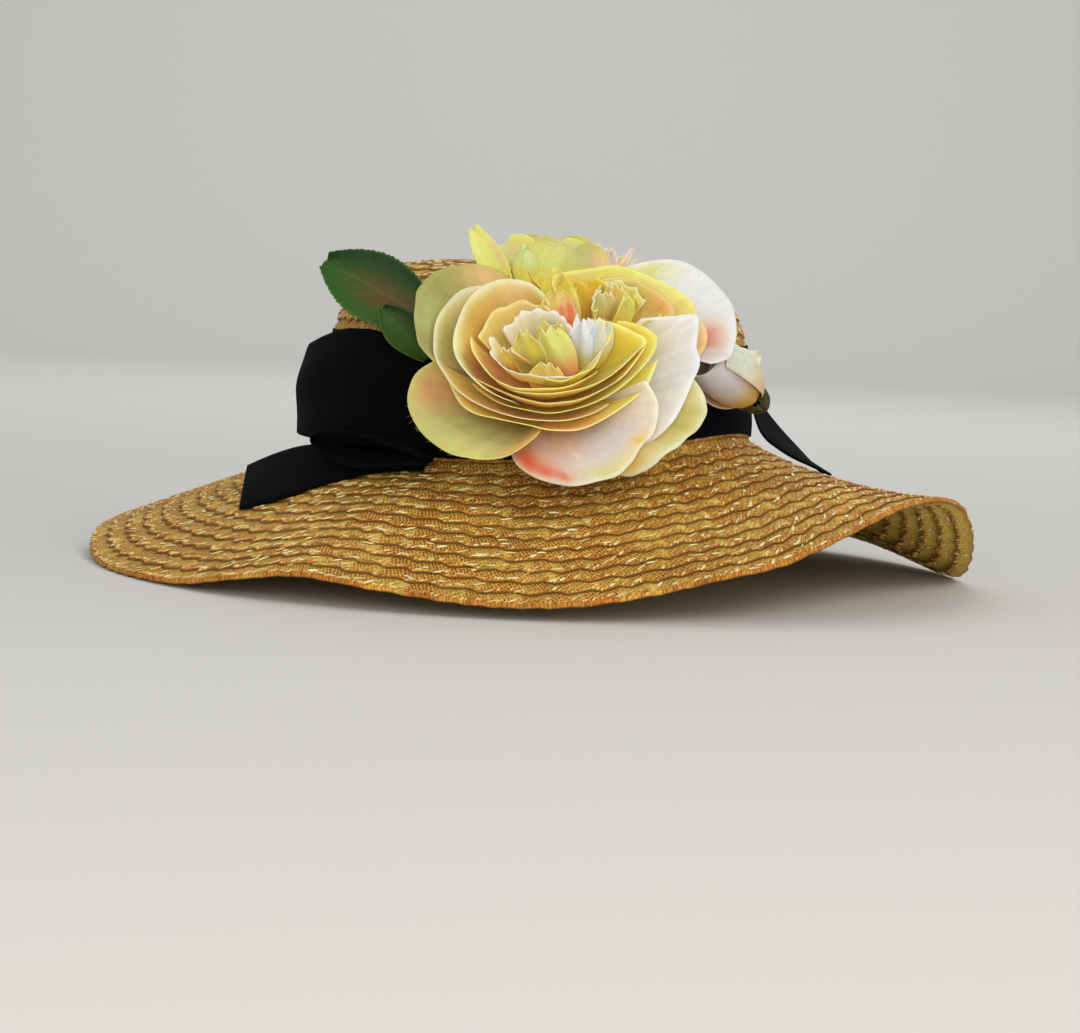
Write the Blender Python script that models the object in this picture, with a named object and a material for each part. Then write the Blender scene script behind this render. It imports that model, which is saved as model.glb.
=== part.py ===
import math

import bmesh
import bpy
from mathutils import Vector

# All lengths are in millimetres; shapes are scaled to metres when they are made.
MM = 0.001

# The straw body: half sizes in plan and wall.
CROWN_HALF_WIDTH = 92.0
CROWN_HALF_DEPTH = 102.0
BRIM_HALF_WIDTH = 190.5
BRIM_HALF_DEPTH = 190.0
STRAW_WALL = 2.2
SEAM_GAP = 0.3
STRAW_SEGMENTS = 60

# Crown outline from its flat top down: share of the base size, height.
CROWN_PROFILE = (
    (0.28, 132.0),
    (0.48, 131.4),
    (0.66, 129.2),
    (0.79, 124.6),
    (0.885, 117.2),
    (0.945, 107.2),
    (0.98, 92.0),
    (0.995, 75.0),
)

# Where crown and brim meet: angle from the front towards the right in degrees, height.
ROOT_WAVE = (
    (-180.0, 49.5),
    (-120.0, 48.8),
    (-60.0, 48.8),
    (-15.0, 50.0),
    (10.0, 52.8),
    (35.0, 58.8),
    (60.0, 61.8),
    (85.0, 59.2),
    (110.0, 54.8),
    (140.0, 50.6),
)
CROWN_FOOT = 2.0
CROWN_FOOT_LEVEL = 52.0

# Brim from its root out to the rim: share of the way, rise above the straight slope.
BRIM_PROFILE = (
    (0.000, 2.0),
    (0.015, 0.5),
    (0.080, 0.1),
    (0.300, 0.4),
    (0.540, 0.6),
    (0.780, 0.4),
    (1.000, 0.0),
)
# How far the brim sags half way out, for each millimetre that its root stands over the lowest root.
SAG_SHARE = 0.36
LOWEST_ROOT = 48.0
BRIM_MIDDLE_RISE = 0.6
BRIM_SEARCH_ROUNDS = 20
BRIM_SEARCH_STEP = 0.9

# The rim's wave: angle from the front towards the right in degrees, height of its under side.
RIM_WAVE = (
    (-180.0, -0.1),
    (-150.0, 5.0),
    (-118.0, 11.5),
    (-94.0, 7.5),
    (-84.0, 4.6),
    (-75.0, 1.2),
    (-66.0, -0.1),
    (-56.0, -0.1),
    (-45.0, 1.0),
    (-35.0, 6.3),
    (-27.0, 9.8),
    (-18.0, 7.6),
    (-5.0, 4.0),
    (4.0, 4.7),
    (12.0, 8.6),
    (22.0, 15.8),
    (30.0, 21.0),
    (40.0, 32.4),
    (49.0, 40.8),
    (58.0, 42.4),
    (67.0, 37.4),
    (74.0, 28.0),
    (82.0, 15.4),
    (90.0, 4.2),
    (97.0, -0.1),
    (106.0, 1.0),
    (128.0, 8.0),
    (152.0, 5.5),
)

# Velvet ribbon.
RIBBON_THICKNESS = 1.2
BAND_HEIGHTS = (100.0, 92.0, 75.0)
BAND_FOOT = 3.2
BAND_CLEARANCE = 0.45

# Cloth of the petals and leaves.
PETAL_THICKNESS = 0.9
LEAF_THICKNESS = 1.0
CUP_ACROSS = 8
OPEN_ACROSS = 6
WIDEST_OPEN = 50.0
PETAL_ALONG = 5

# Each rose is a stack of bowl-shaped petals round a rolled heart.
LAYER_STEP = 1.35
FIRST_LAYER_DEPTH = 7.0
PETAL_ROOT_RADIUS = 2.2
PETAL_ROOT_SPREAD = 110.0
PETAL_ROOT_SHARE = 0.2
PETAL_NARROWEST = 0.78
PETAL_WIDEST_ALONG = 0.85
PETAL_CORNER_DROP = 0.38
SIDE_STRETCH = 1.12
HEART_TURNS = 1.9
HEART_INNER_RADIUS = 2.2
HEART_OUTER_RADIUS = 8.6
HEART_BOTTOM = -5.6
HEART_TOP = 10.0
HEART_FOOT_SHARE = 0.55
HEART_ALONG = 20
HEART_UP = 3

# The roses: middle of the flower, and the way that it looks.
FRONT_ROSE_CENTRE = (3.5, -126.0, 95.8)
FRONT_ROSE_LOOKS = (0.0, -0.74, 0.67)
RIGHT_ROSE_CENTRE = (41.2, -105.0, 116.0)
RIGHT_ROSE_LOOKS = (0.30, -0.62, 0.72)

# Nested petals, inner first: direction round the flower in degrees (0 is the right, 90 is up),
# half width in degrees, reach from the middle, tip height, bowl.
FRONT_PETALS = (
    (100.0, 72.0, 13.5, 9.0, 2.4),
    (225.0, 72.0, 16.0, 9.5, 2.4),
    (340.0, 66.0, 18.6, 10.0, 2.4),
    (95.0, 74.0, 21.8, 11.5, 2.4),
    (215.0, 78.0, 24.5, 9.5, 2.4),
    (320.0, 76.0, 27.2, 8.8, 2.4),
    (268.0, 84.0, 30.0, 5.2, 2.4),
    (30.0, 60.0, 34.5, 10.5, 2.7),
    (125.0, 62.0, 38.0, 11.0, 2.8),
    (238.0, 76.0, 38.5, 0.5, 2.6),
    (300.0, 76.0, 40.5, -3.5, 2.5),
    (144.0, 32.0, 58.0, 9.0, 1.7),
    (3.0, 35.0, 52.0, -3.0, 1.8),
    (332.0, 32.0, 58.0, -10.0, 1.7),
    (208.0, 43.0, 52.0, -12.0, 1.6),
    (281.0, 46.0, 54.0, -16.0, 1.5),
)
RIGHT_PETALS = (
    (150.0, 62.0, 13.5, 9.0, 2.4),
    (280.0, 58.0, 16.0, 8.0, 2.4),
    (30.0, 72.0, 19.4, 9.0, 2.4),
    (90.0, 60.0, 25.0, 11.0, 2.3),
    (330.0, 46.0, 27.0, 3.0, 2.2),
    (10.0, 47.0, 40.0, 5.0, 2.1),
)

# A single petal or leaf: its width at the root as a share, how full its sides are, facets.
BLADE_ROOT_WIDTH = 0.12
BLADE_FULLNESS = 0.8
BLADE_FACES = (0.0, -1.0, 0.35)
BLADE_ACROSS = 4
BACK_PETAL_ALONG = 4
LEAF_ALONG = 7

# Single petals of the back rose: root, tip, half width, side cup, lengthwise bend.
BACK_PETALS = (
    ((-15.0, -74.0, 129.4), (-27.5, -77.0, 146.0), 6.5, 2.0, 2.0),
    ((-4.5, -68.0, 130.0), (-7.0, -71.0, 143.0), 7.5, 2.0, 3.0),
    ((11.0, -58.0, 131.9), (13.0, -62.0, 144.5), 14.0, 2.5, 2.0),
    ((29.0, -64.5, 128.9), (35.0, -69.0, 143.0), 8.0, 2.0, 2.0),
    ((4.0, -45.0, 132.0), (4.0, -37.0, 144.0), 14.0, 2.5, 3.0),
)

# Leaves: root, tip, half width, side cup, lengthwise bend.
LEAVES = (
    ("leaf_large", (-40.0, -92.0, 104.4), (-88.0, -74.0, 128.5), 14.5, 2.0, 1.0),
    ("leaf_small", (-44.5, -97.7, 91.0), (-63.0, -97.0, 111.0), 7.5, 1.5, 2.0),
)

# The bud beside the right rose and its calyx: foot, tip, largest radius.
BUD_FOOT = (86.5, -65.5, 81.5)
BUD_TIP = (65.0, -92.0, 96.5)
BUD_RADIUS = 11.5
CALYX_FOOT = (94.5, -56.0, 75.8)
CALYX_TIP = (85.55, -66.65, 82.2)
CALYX_RADIUS = 5.5
# Where each is fullest, as a share of its length, and how blunt both ends are.
BUD_FULLEST = 0.4
CALYX_FULLEST = 0.7
POD_BLUNTNESS = 0.7
POD_END_SHARE = 0.04
POD_SEGMENTS = 12
POD_RINGS = 6

# The bow's big loop beside the crown: angles round the crown, clearances from its wall, heights.
LOOP_ANGLES = (-100.0, -26.0)
LOOP_CLEARANCES = (2.9, 13.0)
LOOP_BOTTOM = 55.5
LOOP_TOP = 100.0
LOOP_AROUND = 28
LOOP_HEIGHTS = 3
LOOP_DROOP = 13.0

# The small rolled loop at the foot of the bow.
ROLL_ANGLES = (-52.0, -22.0)
ROLL_CLEARANCES = (13.6, 19.6)
ROLL_BOTTOM = 46.8
ROLL_TOP = 59.0
ROLL_DROOP = 2.0

# Ribbon tails over the brim: back edge x, y, lift; front edge x, y, lift.
LEFT_TAIL = (
    (-42.0, -95.5, 3.6, -44.0, -102.0, 2.4),
    (-61.0, -83.8, 4.2, -65.0, -91.5, 2.4),
    (-81.0, -61.0, 4.8, -85.0, -80.0, 1.8),
    (-99.0, -36.0, 5.6, -104.0, -74.0, 1.5),
    (-111.0, -22.0, 5.6, -114.0, -71.0, 1.5),
    (-121.0, -12.0, 4.2, -122.0, -68.0, 1.5),
)
# Right tail: x, height of the back edge, height of the front edge.
RIGHT_TAIL = (
    (93.9, 81.0, 80.0),
    (96.0, 73.0, 72.5),
    (99.0, 66.5, 66.0),
    (103.0, 61.0, 61.0),
    (110.0, 55.5, 56.0),
    (119.0, 50.0, 51.5),
    (128.0, 44.5, 46.5),
)
RIGHT_TAIL_BACK = 28.0
RIGHT_TAIL_FRONT = -16.0
TAIL_ALONG = 10
LEFT_TAIL_ACROSS = 4
RIGHT_TAIL_ACROSS = 3


def smooth_wave(rows, angle):
    """The height at an angle in degrees, on a smooth closed curve through the rows of a table."""
    count = len(rows)
    angle = (angle + 180.0) % 360.0 - 180.0
    index = max(i for i in range(count) if rows[i][0] <= angle)

    def row(i):
        turns, place = divmod(i, count)
        return rows[place][0] + 360.0 * turns, rows[place][1]

    def slope(i):
        before, after = row(i - 1), row(i + 1)
        return (after[1] - before[1]) / (after[0] - before[0])

    (start, low), (end, high) = row(index), row(index + 1)
    span = end - start
    share = (angle - start) / span
    cube, square = share**3, share**2
    return (
        (2 * cube - 3 * square + 1) * low
        + (cube - 2 * square + share) * span * slope(index)
        + (3 * square - 2 * cube) * high
        + (cube - square) * span * slope(index + 1)
    )


def around(angle, half_width, half_depth):
    """A point in plan on an ellipse, at an angle from the front towards the right."""
    turn = math.radians(angle)
    return half_width * math.sin(turn), -half_depth * math.cos(turn)


def brim_point(angle, share, rise=0.0):
    """A point on top of the brim, rise above the straight slope from root to rim."""
    half_width = CROWN_HALF_WIDTH + (BRIM_HALF_WIDTH - CROWN_HALF_WIDTH) * share
    half_depth = CROWN_HALF_DEPTH + (BRIM_HALF_DEPTH - CROWN_HALF_DEPTH) * share
    x, y = around(angle, half_width, half_depth)
    root = smooth_wave(ROOT_WAVE, angle)
    rim = smooth_wave(RIM_WAVE, angle) + STRAW_WALL
    sag = SAG_SHARE * (root - LOWEST_ROOT) * 4.0 * share * (1.0 - share)
    height = root + (rim - root) * share + rise - sag
    return Vector((x, y, height))


def brim_height(x, y):
    """Height of the brim's top over a point in plan."""
    share = 0.5
    for _ in range(BRIM_SEARCH_ROUNDS):
        half_width = CROWN_HALF_WIDTH + (BRIM_HALF_WIDTH - CROWN_HALF_WIDTH) * share
        half_depth = CROWN_HALF_DEPTH + (BRIM_HALF_DEPTH - CROWN_HALF_DEPTH) * share
        size = math.hypot(x / half_width, y / half_depth)
        share += (size - 1.0) * BRIM_SEARCH_STEP
        share = min(max(share, 0.0), 1.0)
    angle = math.degrees(math.atan2(x / half_width, -y / half_depth))
    return brim_point(angle, share, BRIM_MIDDLE_RISE).z


def crown_share(height):
    """Share of the base size that the crown has at a height."""
    rows = CROWN_PROFILE
    for (upper_share, upper), (lower_share, lower) in zip(rows, rows[1:]):
        if lower <= height <= upper:
            part = (height - lower) / (upper - lower)
            return lower_share + (upper_share - lower_share) * part
    lowest_share, lowest = rows[-1]
    part = min((lowest - height) / (lowest - CROWN_FOOT_LEVEL), 1.0)
    return lowest_share + (1.0 - lowest_share) * part


def crown_side(angle, height, clearance):
    """A point beside the crown wall, a clearance outside it."""
    share = crown_share(height)
    x, y = around(angle, CROWN_HALF_WIDTH * share, CROWN_HALF_DEPTH * share)
    outward = Vector((x / CROWN_HALF_WIDTH**2, y / CROWN_HALF_DEPTH**2, 0.0)).normalized()
    return Vector((x, y, height)) + outward * clearance


def material(name, colour, roughness):
    made = bpy.data.materials.new(name)
    made.use_nodes = True
    shader = made.node_tree.nodes["Principled BSDF"]
    shader.inputs["Base Color"].default_value = (*colour, 1.0)
    shader.inputs["Roughness"].default_value = roughness
    return made


def straw_material():
    return material("straw", (0.46, 0.25, 0.06), 0.55)


def velvet_material():
    return material("velvet", (0.012, 0.012, 0.014), 0.9)


def petal_material():
    return material("petal_silk", (0.90, 0.80, 0.50), 0.8)


def leaf_material():
    return material("leaf_cloth", (0.06, 0.16, 0.04), 0.7)


def calyx_material():
    return material("calyx_cloth", (0.14, 0.11, 0.05), 0.7)


def finish(shape, name, surface):
    """Turns a bmesh into an object, in metres, with smooth shading."""
    bmesh.ops.recalc_face_normals(shape, faces=shape.faces)
    bmesh.ops.scale(shape, vec=(MM, MM, MM), verts=shape.verts)
    mesh = bpy.data.meshes.new(name)
    shape.to_mesh(mesh)
    shape.free()
    mesh.shade_smooth()
    mesh.materials.append(surface)
    made = bpy.data.objects.new(name, mesh)
    bpy.context.scene.collection.objects.link(made)
    return made


def extrude_ring(shape, edges, points):
    """Extrudes an open ring of edges and puts its new points, kept in order, on a ring."""
    grown = bmesh.ops.extrude_edge_only(shape, edges=edges)["geom"]
    order = shape.verts.layers.int["order"]
    for vertex in (item for item in grown if isinstance(item, bmesh.types.BMVert)):
        vertex.co = points[vertex[order]]
    return [item for item in grown if isinstance(item, bmesh.types.BMEdge)]


def ring_start(shape, points, filled):
    """The first ring of a loft, with a number on each point for its place."""
    order = shape.verts.layers.int.new("order")
    made = bmesh.ops.create_circle(shape, segments=len(points), radius=1.0, cap_ends=filled)
    for place, vertex in enumerate(made["verts"]):
        vertex[order] = place
        vertex.co = points[place]
    return list(shape.edges)


def lofted_cap(name, rings, surface):
    """A closed body through rings, with a flat face on the first and the last."""
    shape = bmesh.new()
    edges = ring_start(shape, rings[0], True)
    for points in rings[1:]:
        edges = extrude_ring(shape, edges, points)
    bmesh.ops.edgeloop_fill(shape, edges=edges)
    return finish(shape, name, surface)


def lofted_tube(name, rings, surface):
    """A closed ring-like body whose last ring joins the first."""
    shape = bmesh.new()
    first = ring_start(shape, rings[0], False)
    edges = first
    for points in rings[1:]:
        edges = extrude_ring(shape, edges, points)
    bmesh.ops.bridge_loops(shape, edges=first + edges)
    return finish(shape, name, surface)


def walled(profile, wall, first_normal=None):
    """Points of an outline at one angle, then the same points set in by the wall, reversed."""
    inner = []
    for place, point in enumerate(profile):
        before = profile[max(place - 1, 0)]
        after = profile[min(place + 1, len(profile) - 1)]
        way = after - before
        outward = Vector((point.x, point.y, 0.0)).normalized()
        run = way.dot(outward)
        normal = (outward * -way.z + Vector((0.0, 0.0, run))).normalized()
        if place == 0 and first_normal:
            normal = Vector(first_normal)
        inner.append(point - normal * wall)
    return list(profile) + inner[::-1]


def rings_of(profiles):
    """Turns one list of points per angle into one ring per place in the list."""
    return [list(ring) for ring in zip(*profiles)]


def straw_angles():
    return [360.0 * step / STRAW_SEGMENTS for step in range(STRAW_SEGMENTS)]


def make_crown(surface):
    profiles = []
    for angle in straw_angles():
        outline = []
        for share, height in CROWN_PROFILE:
            x, y = around(angle, CROWN_HALF_WIDTH * share, CROWN_HALF_DEPTH * share)
            outline.append(Vector((x, y, height)))
        foot = brim_point(angle, 0.0, CROWN_FOOT + SEAM_GAP)
        outline.append(foot)
        profiles.append(walled(outline, STRAW_WALL, (0.0, 0.0, 1.0)))
    return lofted_cap("crown", rings_of(profiles), surface)


def make_brim(surface):
    profiles = []
    for angle in straw_angles():
        outline = [brim_point(angle, share, rise) for share, rise in BRIM_PROFILE]
        profiles.append(walled(outline, STRAW_WALL))
    return lofted_tube("brim", rings_of(profiles), surface)


def make_band(surface):
    profiles = []
    for angle in straw_angles():
        outline = []
        foot = smooth_wave(ROOT_WAVE, angle) + BAND_FOOT
        for height in (*BAND_HEIGHTS, foot):
            outline.append(crown_side(angle, height, BAND_CLEARANCE + RIBBON_THICKNESS))
        profiles.append(walled(outline, RIBBON_THICKNESS))
    return lofted_tube("hat_band", rings_of(profiles), surface)


def cloth_sheet(name, facets_across, facets_along, point_at, thickness, surface):
    """A thin sheet of cloth: a grid put in place by point_at(across, along), then thickened."""
    shape = bmesh.new()
    bmesh.ops.create_grid(shape, x_segments=facets_across, y_segments=facets_along, size=1.0)
    for vertex in shape.verts:
        vertex.co = point_at(vertex.co.x, (vertex.co.y + 1.0) / 2.0)
    made = finish(shape, name, surface)
    thicken(made, thickness)
    return made


def thicken(made, thickness):
    solid = made.modifiers.new("thickness", "SOLIDIFY")
    solid.thickness = thickness * MM
    solid.offset = 0.0
    solid.use_even_offset = True


def flower_frame(centre, looks):
    """The middle of a flower and its right, up and outward directions."""
    outward = Vector(looks).normalized()
    right = Vector((0.0, 0.0, 1.0)).cross(outward).normalized()
    up = outward.cross(right)
    return Vector(centre), right, up, outward


def in_flower(frame, radius, direction, height):
    centre, right, up, outward = frame
    turn = math.radians(direction)
    sideways = radius * SIDE_STRETCH * math.cos(turn)
    return centre + right * sideways + up * (radius * math.sin(turn)) + outward * height


def make_nested_petal(name, frame, layer, row, surface):
    """A petal on one of a stack of bowls, so that no two petals of the stack meet."""
    direction, half_width, reach, tip_height, bowl = row
    root_height = -FIRST_LAYER_DEPTH - LAYER_STEP * layer

    def point_at(across, along):
        run = along * (1.0 - PETAL_CORNER_DROP * abs(across) ** 3)
        radius = PETAL_ROOT_RADIUS + (reach - PETAL_ROOT_RADIUS) * run
        height = root_height + (tip_height - root_height) * run**bowl
        widening = math.sin(math.pi * min(along, PETAL_WIDEST_ALONG))
        spread = half_width * (PETAL_NARROWEST + (1.0 - PETAL_NARROWEST) * widening)
        root_part = max(1.0 - along / PETAL_ROOT_SHARE, 0.0)
        spread += (PETAL_ROOT_SPREAD - spread) * root_part
        return in_flower(frame, radius, direction + across * spread, height)

    facets = OPEN_ACROSS if half_width < WIDEST_OPEN else CUP_ACROSS
    return cloth_sheet(name, facets, PETAL_ALONG, point_at, PETAL_THICKNESS, surface)


def make_heart(name, frame, surface):
    """The rolled middle of a rose, wider at its top."""

    def point_at(across, along):
        lift = (across + 1.0) / 2.0
        radius = HEART_INNER_RADIUS + (HEART_OUTER_RADIUS - HEART_INNER_RADIUS) * along
        radius *= HEART_FOOT_SHARE + (1.0 - HEART_FOOT_SHARE) * lift
        height = HEART_BOTTOM + (HEART_TOP - HEART_BOTTOM) * lift
        return in_flower(frame, radius, 360.0 * HEART_TURNS * along, height)

    return cloth_sheet(name, HEART_UP, HEART_ALONG, point_at, PETAL_THICKNESS, surface)


def make_rose(name, centre, looks, petals, surface):
    frame = flower_frame(centre, looks)
    make_heart(f"{name}_heart", frame, surface)
    for layer, row in enumerate(petals):
        make_nested_petal(f"{name}_petal_{layer + 1:02d}", frame, layer, row, surface)


def make_blade(name, root, tip, half_width, cup, bend, facets_along, thickness, surface):
    """A single petal or leaf from its root to its tip, cupped and bent towards its face."""
    root, tip = Vector(root), Vector(tip)
    way = tip - root
    side = way.cross(Vector(BLADE_FACES)).normalized()
    face = side.cross(way).normalized()

    def point_at(position, along):
        fullness = math.sin(math.pi * (0.06 + 0.9 * along)) ** BLADE_FULLNESS
        width = half_width * (BLADE_ROOT_WIDTH + (1.0 - BLADE_ROOT_WIDTH) * fullness)
        rise = bend * 4.0 * along * (1.0 - along) + cup * position**2
        return root + way * along + side * (width * position) + face * rise

    return cloth_sheet(name, BLADE_ACROSS, facets_along, point_at, thickness, surface)


def make_back_rose(surface):
    for place, row in enumerate(BACK_PETALS):
        name = f"rose_back_petal_{place + 1:02d}"
        make_blade(name, *row, BACK_PETAL_ALONG, PETAL_THICKNESS, surface)


def make_leaves(surface):
    for name, *row in LEAVES:
        make_blade(name, *row, LEAF_ALONG, LEAF_THICKNESS, surface)


def make_pod(name, foot, tip, radius, fullest, surface):
    """A closed pod from its foot to its tip, fullest at a share of its length."""
    foot, tip = Vector(foot), Vector(tip)
    way = tip - foot
    side = way.cross(Vector((0.0, 0.0, 1.0))).normalized()
    other = side.cross(way).normalized()
    skew = math.log(0.5) / math.log(fullest)
    rings = []
    for ring in range(POD_RINGS):
        share = POD_END_SHARE + (1.0 - 2.0 * POD_END_SHARE) * ring / (POD_RINGS - 1)
        bulge = math.sin(math.pi * share**skew) ** POD_BLUNTNESS
        points = []
        for step in range(POD_SEGMENTS):
            turn = 2.0 * math.pi * step / POD_SEGMENTS
            spoke = side * math.cos(turn) + other * math.sin(turn)
            points.append(foot + way * share + spoke * (radius * bulge))
        rings.append(points)
    return lofted_cap(name, rings, surface)


def make_bud(petal, calyx):
    make_pod("rosebud", BUD_FOOT, BUD_TIP, BUD_RADIUS, BUD_FULLEST, petal)
    make_pod("bud_calyx", CALYX_FOOT, CALYX_TIP, CALYX_RADIUS, CALYX_FULLEST, calyx)


def make_ribbon_loop(name, angles, clearances, heights, droop, surface):
    """A loop of ribbon lying round the crown: a flattened ring, open at its top and bottom."""
    bottom, top = heights
    middle_angle = (angles[0] + angles[1]) / 2.0
    half_angle = (angles[1] - angles[0]) / 2.0
    middle_clearance = (clearances[0] + clearances[1]) / 2.0
    half_clearance = (clearances[1] - clearances[0]) / 2.0
    outer_rings, inner_rings = [], []
    for level in range(LOOP_HEIGHTS):
        level_share = level / (LOOP_HEIGHTS - 1)
        outer, inner = [], []
        for step in range(LOOP_AROUND):
            turn = 2.0 * math.pi * step / LOOP_AROUND
            fold_share = (1.0 - math.cos(turn)) / 2.0
            height = bottom + (top - droop * fold_share**3 - bottom) * level_share
            angle = middle_angle + half_angle * math.cos(turn)
            clearance = middle_clearance + half_clearance * math.sin(turn)
            outer.append(crown_side(angle, height, clearance))
            narrow = half_angle - math.degrees(RIBBON_THICKNESS / CROWN_HALF_WIDTH)
            angle = middle_angle + narrow * math.cos(turn)
            clearance = middle_clearance + (half_clearance - RIBBON_THICKNESS) * math.sin(turn)
            inner.append(crown_side(angle, height, clearance))
        outer_rings.append(outer)
        inner_rings.append(inner)
    return lofted_tube(name, outer_rings + inner_rings[::-1], surface)


def between(rows, along):
    """The row of numbers a share of the way through a table of rows."""
    place = along * (len(rows) - 1)
    index = min(int(place), len(rows) - 2)
    part = place - index
    return [low + (high - low) * part for low, high in zip(rows[index], rows[index + 1])]


def make_left_tail(surface):
    def point_at(across, along):
        back_x, back_y, back_lift, front_x, front_y, front_lift = between(LEFT_TAIL, along)
        part = (across + 1.0) / 2.0
        x = back_x + (front_x - back_x) * part
        y = back_y + (front_y - back_y) * part
        lift = back_lift + (front_lift - back_lift) * part
        return Vector((x, y, brim_height(x, y) + lift))

    facets = (LEFT_TAIL_ACROSS, TAIL_ALONG)
    return cloth_sheet("bow_tail_left", *facets, point_at, RIBBON_THICKNESS, surface)


def make_right_tail(surface):
    def point_at(across, along):
        x, back_height, front_height = between(RIGHT_TAIL, along)
        part = (across + 1.0) / 2.0
        y = RIGHT_TAIL_BACK + (RIGHT_TAIL_FRONT - RIGHT_TAIL_BACK) * part
        return Vector((x, y, back_height + (front_height - back_height) * part))

    facets = (RIGHT_TAIL_ACROSS, TAIL_ALONG)
    return cloth_sheet("bow_tail_right", *facets, point_at, RIBBON_THICKNESS, surface)


def make_bow(surface):
    loop_heights = (LOOP_BOTTOM, LOOP_TOP)
    make_ribbon_loop("bow_loop", LOOP_ANGLES, LOOP_CLEARANCES, loop_heights, LOOP_DROOP, surface)
    roll_heights = (ROLL_BOTTOM, ROLL_TOP)
    make_ribbon_loop("bow_roll", ROLL_ANGLES, ROLL_CLEARANCES, roll_heights, ROLL_DROOP, surface)
    make_left_tail(surface)
    make_right_tail(surface)


def clear_scene():
    for old in list(bpy.data.objects):
        bpy.data.objects.remove(old, do_unlink=True)


def main():
    clear_scene()
    straw = straw_material()
    velvet = velvet_material()
    petal = petal_material()
    leaf = leaf_material()
    calyx = calyx_material()
    make_crown(straw)
    make_brim(straw)
    make_band(velvet)
    make_bow(velvet)
    make_rose("rose_front", FRONT_ROSE_CENTRE, FRONT_ROSE_LOOKS, FRONT_PETALS, petal)
    make_rose("rose_right", RIGHT_ROSE_CENTRE, RIGHT_ROSE_LOOKS, RIGHT_PETALS, petal)
    make_back_rose(petal)
    make_bud(petal, calyx)
    make_leaves(leaf)


main()
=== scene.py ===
import math
import random
from functools import lru_cache

import bmesh
import bpy
import numpy as np
from mathutils import Matrix, Vector, noise


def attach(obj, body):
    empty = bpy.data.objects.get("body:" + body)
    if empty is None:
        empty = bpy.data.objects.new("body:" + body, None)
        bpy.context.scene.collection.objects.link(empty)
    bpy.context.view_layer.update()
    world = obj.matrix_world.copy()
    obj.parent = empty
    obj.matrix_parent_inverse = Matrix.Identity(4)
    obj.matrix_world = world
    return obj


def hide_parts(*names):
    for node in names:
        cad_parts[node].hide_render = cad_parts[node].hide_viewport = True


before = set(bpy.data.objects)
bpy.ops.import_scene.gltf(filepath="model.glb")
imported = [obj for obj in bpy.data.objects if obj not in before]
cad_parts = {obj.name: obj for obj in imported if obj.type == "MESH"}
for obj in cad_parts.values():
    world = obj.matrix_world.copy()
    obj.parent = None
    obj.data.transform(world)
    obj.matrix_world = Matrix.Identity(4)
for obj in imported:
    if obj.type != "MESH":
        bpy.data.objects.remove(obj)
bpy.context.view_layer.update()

mm = 0.001  # lengths are in millimetres until a piece is finished

# Shared form
hatForm = {
    "crownHalf": (92.0, 102.0),     # half width and half depth at the foot
    "brimHalf": (190.5, 190.0),
    "footRadius": 97.0,             # mean radius, for the girth of a row
    "rimRadius": 190.0,
    "wall": 2.2,
    "sagShare": 0.36,               # how far the brim sags half way out
    "lowestRoot": 48.0,
    "footLevel": 52.0,
    "root": (  # angle from the front towards the right, height where the brim meets the crown
        (-180, 49.5), (-120, 48.8), (-60, 48.8), (-15, 50.0), (10, 52.8), (35, 58.8),
        (60, 61.8), (85, 59.2), (110, 54.8), (140, 50.6),
    ),
    "rim": (
        (-180, -0.1), (-150, 5.0), (-118, 11.5), (-94, 7.5), (-84, 4.6), (-75, 1.2),
        (-66, -0.1), (-56, -0.1), (-45, 1.0), (-35, 6.3), (-27, 9.8), (-18, 7.6),
        (-5, 4.0), (4, 4.7), (12, 8.6), (22, 15.8), (30, 21.0), (40, 32.4), (49, 40.8),
        (58, 42.4), (67, 37.4), (74, 28.0), (82, 15.4), (90, 4.2), (97, -0.1),
        (106, 1.0), (128, 8.0), (152, 5.5),
    ),
    "crown": (  # share of the foot's size, height
        (0.0, 132.1), (0.28, 132.0), (0.48, 131.4), (0.66, 129.2), (0.79, 124.6),
        (0.885, 117.2), (0.945, 107.2), (0.98, 92.0), (0.995, 75.0),
    ),
}


# height of the root or the rim at an angle, on a smooth closed curve
@lru_cache(maxsize=None)
def waveHeight(wave, angle):
    rows = hatForm[wave]
    count = len(rows)
    angle = (angle + 180.0) % 360.0 - 180.0
    index = max(i for i in range(count) if rows[i][0] <= angle)

    def row(i):
        turns, place = divmod(i, count)
        return rows[place][0] + 360.0 * turns, rows[place][1]

    def slope(i):
        before, after = row(i - 1), row(i + 1)
        return (after[1] - before[1]) / (after[0] - before[0])

    (start, low), (end, high) = row(index), row(index + 1)
    span = end - start
    t = (angle - start) / span
    return ((2 * t**3 - 3 * t**2 + 1) * low + (t**3 - 2 * t**2 + t) * span * slope(index)
            + (3 * t**2 - 2 * t**3) * high + (t**3 - t**2) * span * slope(index + 1))


def smoothStep(low, high, value):
    t = min(max((value - low) / (high - low), 0.0), 1.0)
    return t * t * (3.0 - 2.0 * t)


def mix(a, b, t):
    return a + (b - a) * t


# smooth curve from b to c, with a before them and d after
def curve(a, b, c, d, t):
    return 0.5 * (2 * b + (c - a) * t + (2 * a - 5 * b + 4 * c - d) * t**2 + (3 * b - a - 3 * c + d) * t**3)


def between(rows, along):
    place = min(max(along, 0.0), 1.0) * (len(rows) - 1)
    index = min(int(place), len(rows) - 2)
    before, after = rows[max(index - 1, 0)], rows[min(index + 2, len(rows) - 1)]
    return [curve(*values, place - index) for values in zip(before, rows[index], rows[index + 1], after)]


def noiseAt(*place):
    return noise.noise(Vector(place))


def around(angle, halfWidth, halfDepth):
    turn = math.radians(angle)
    return halfWidth * math.sin(turn), -halfDepth * math.cos(turn)


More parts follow.
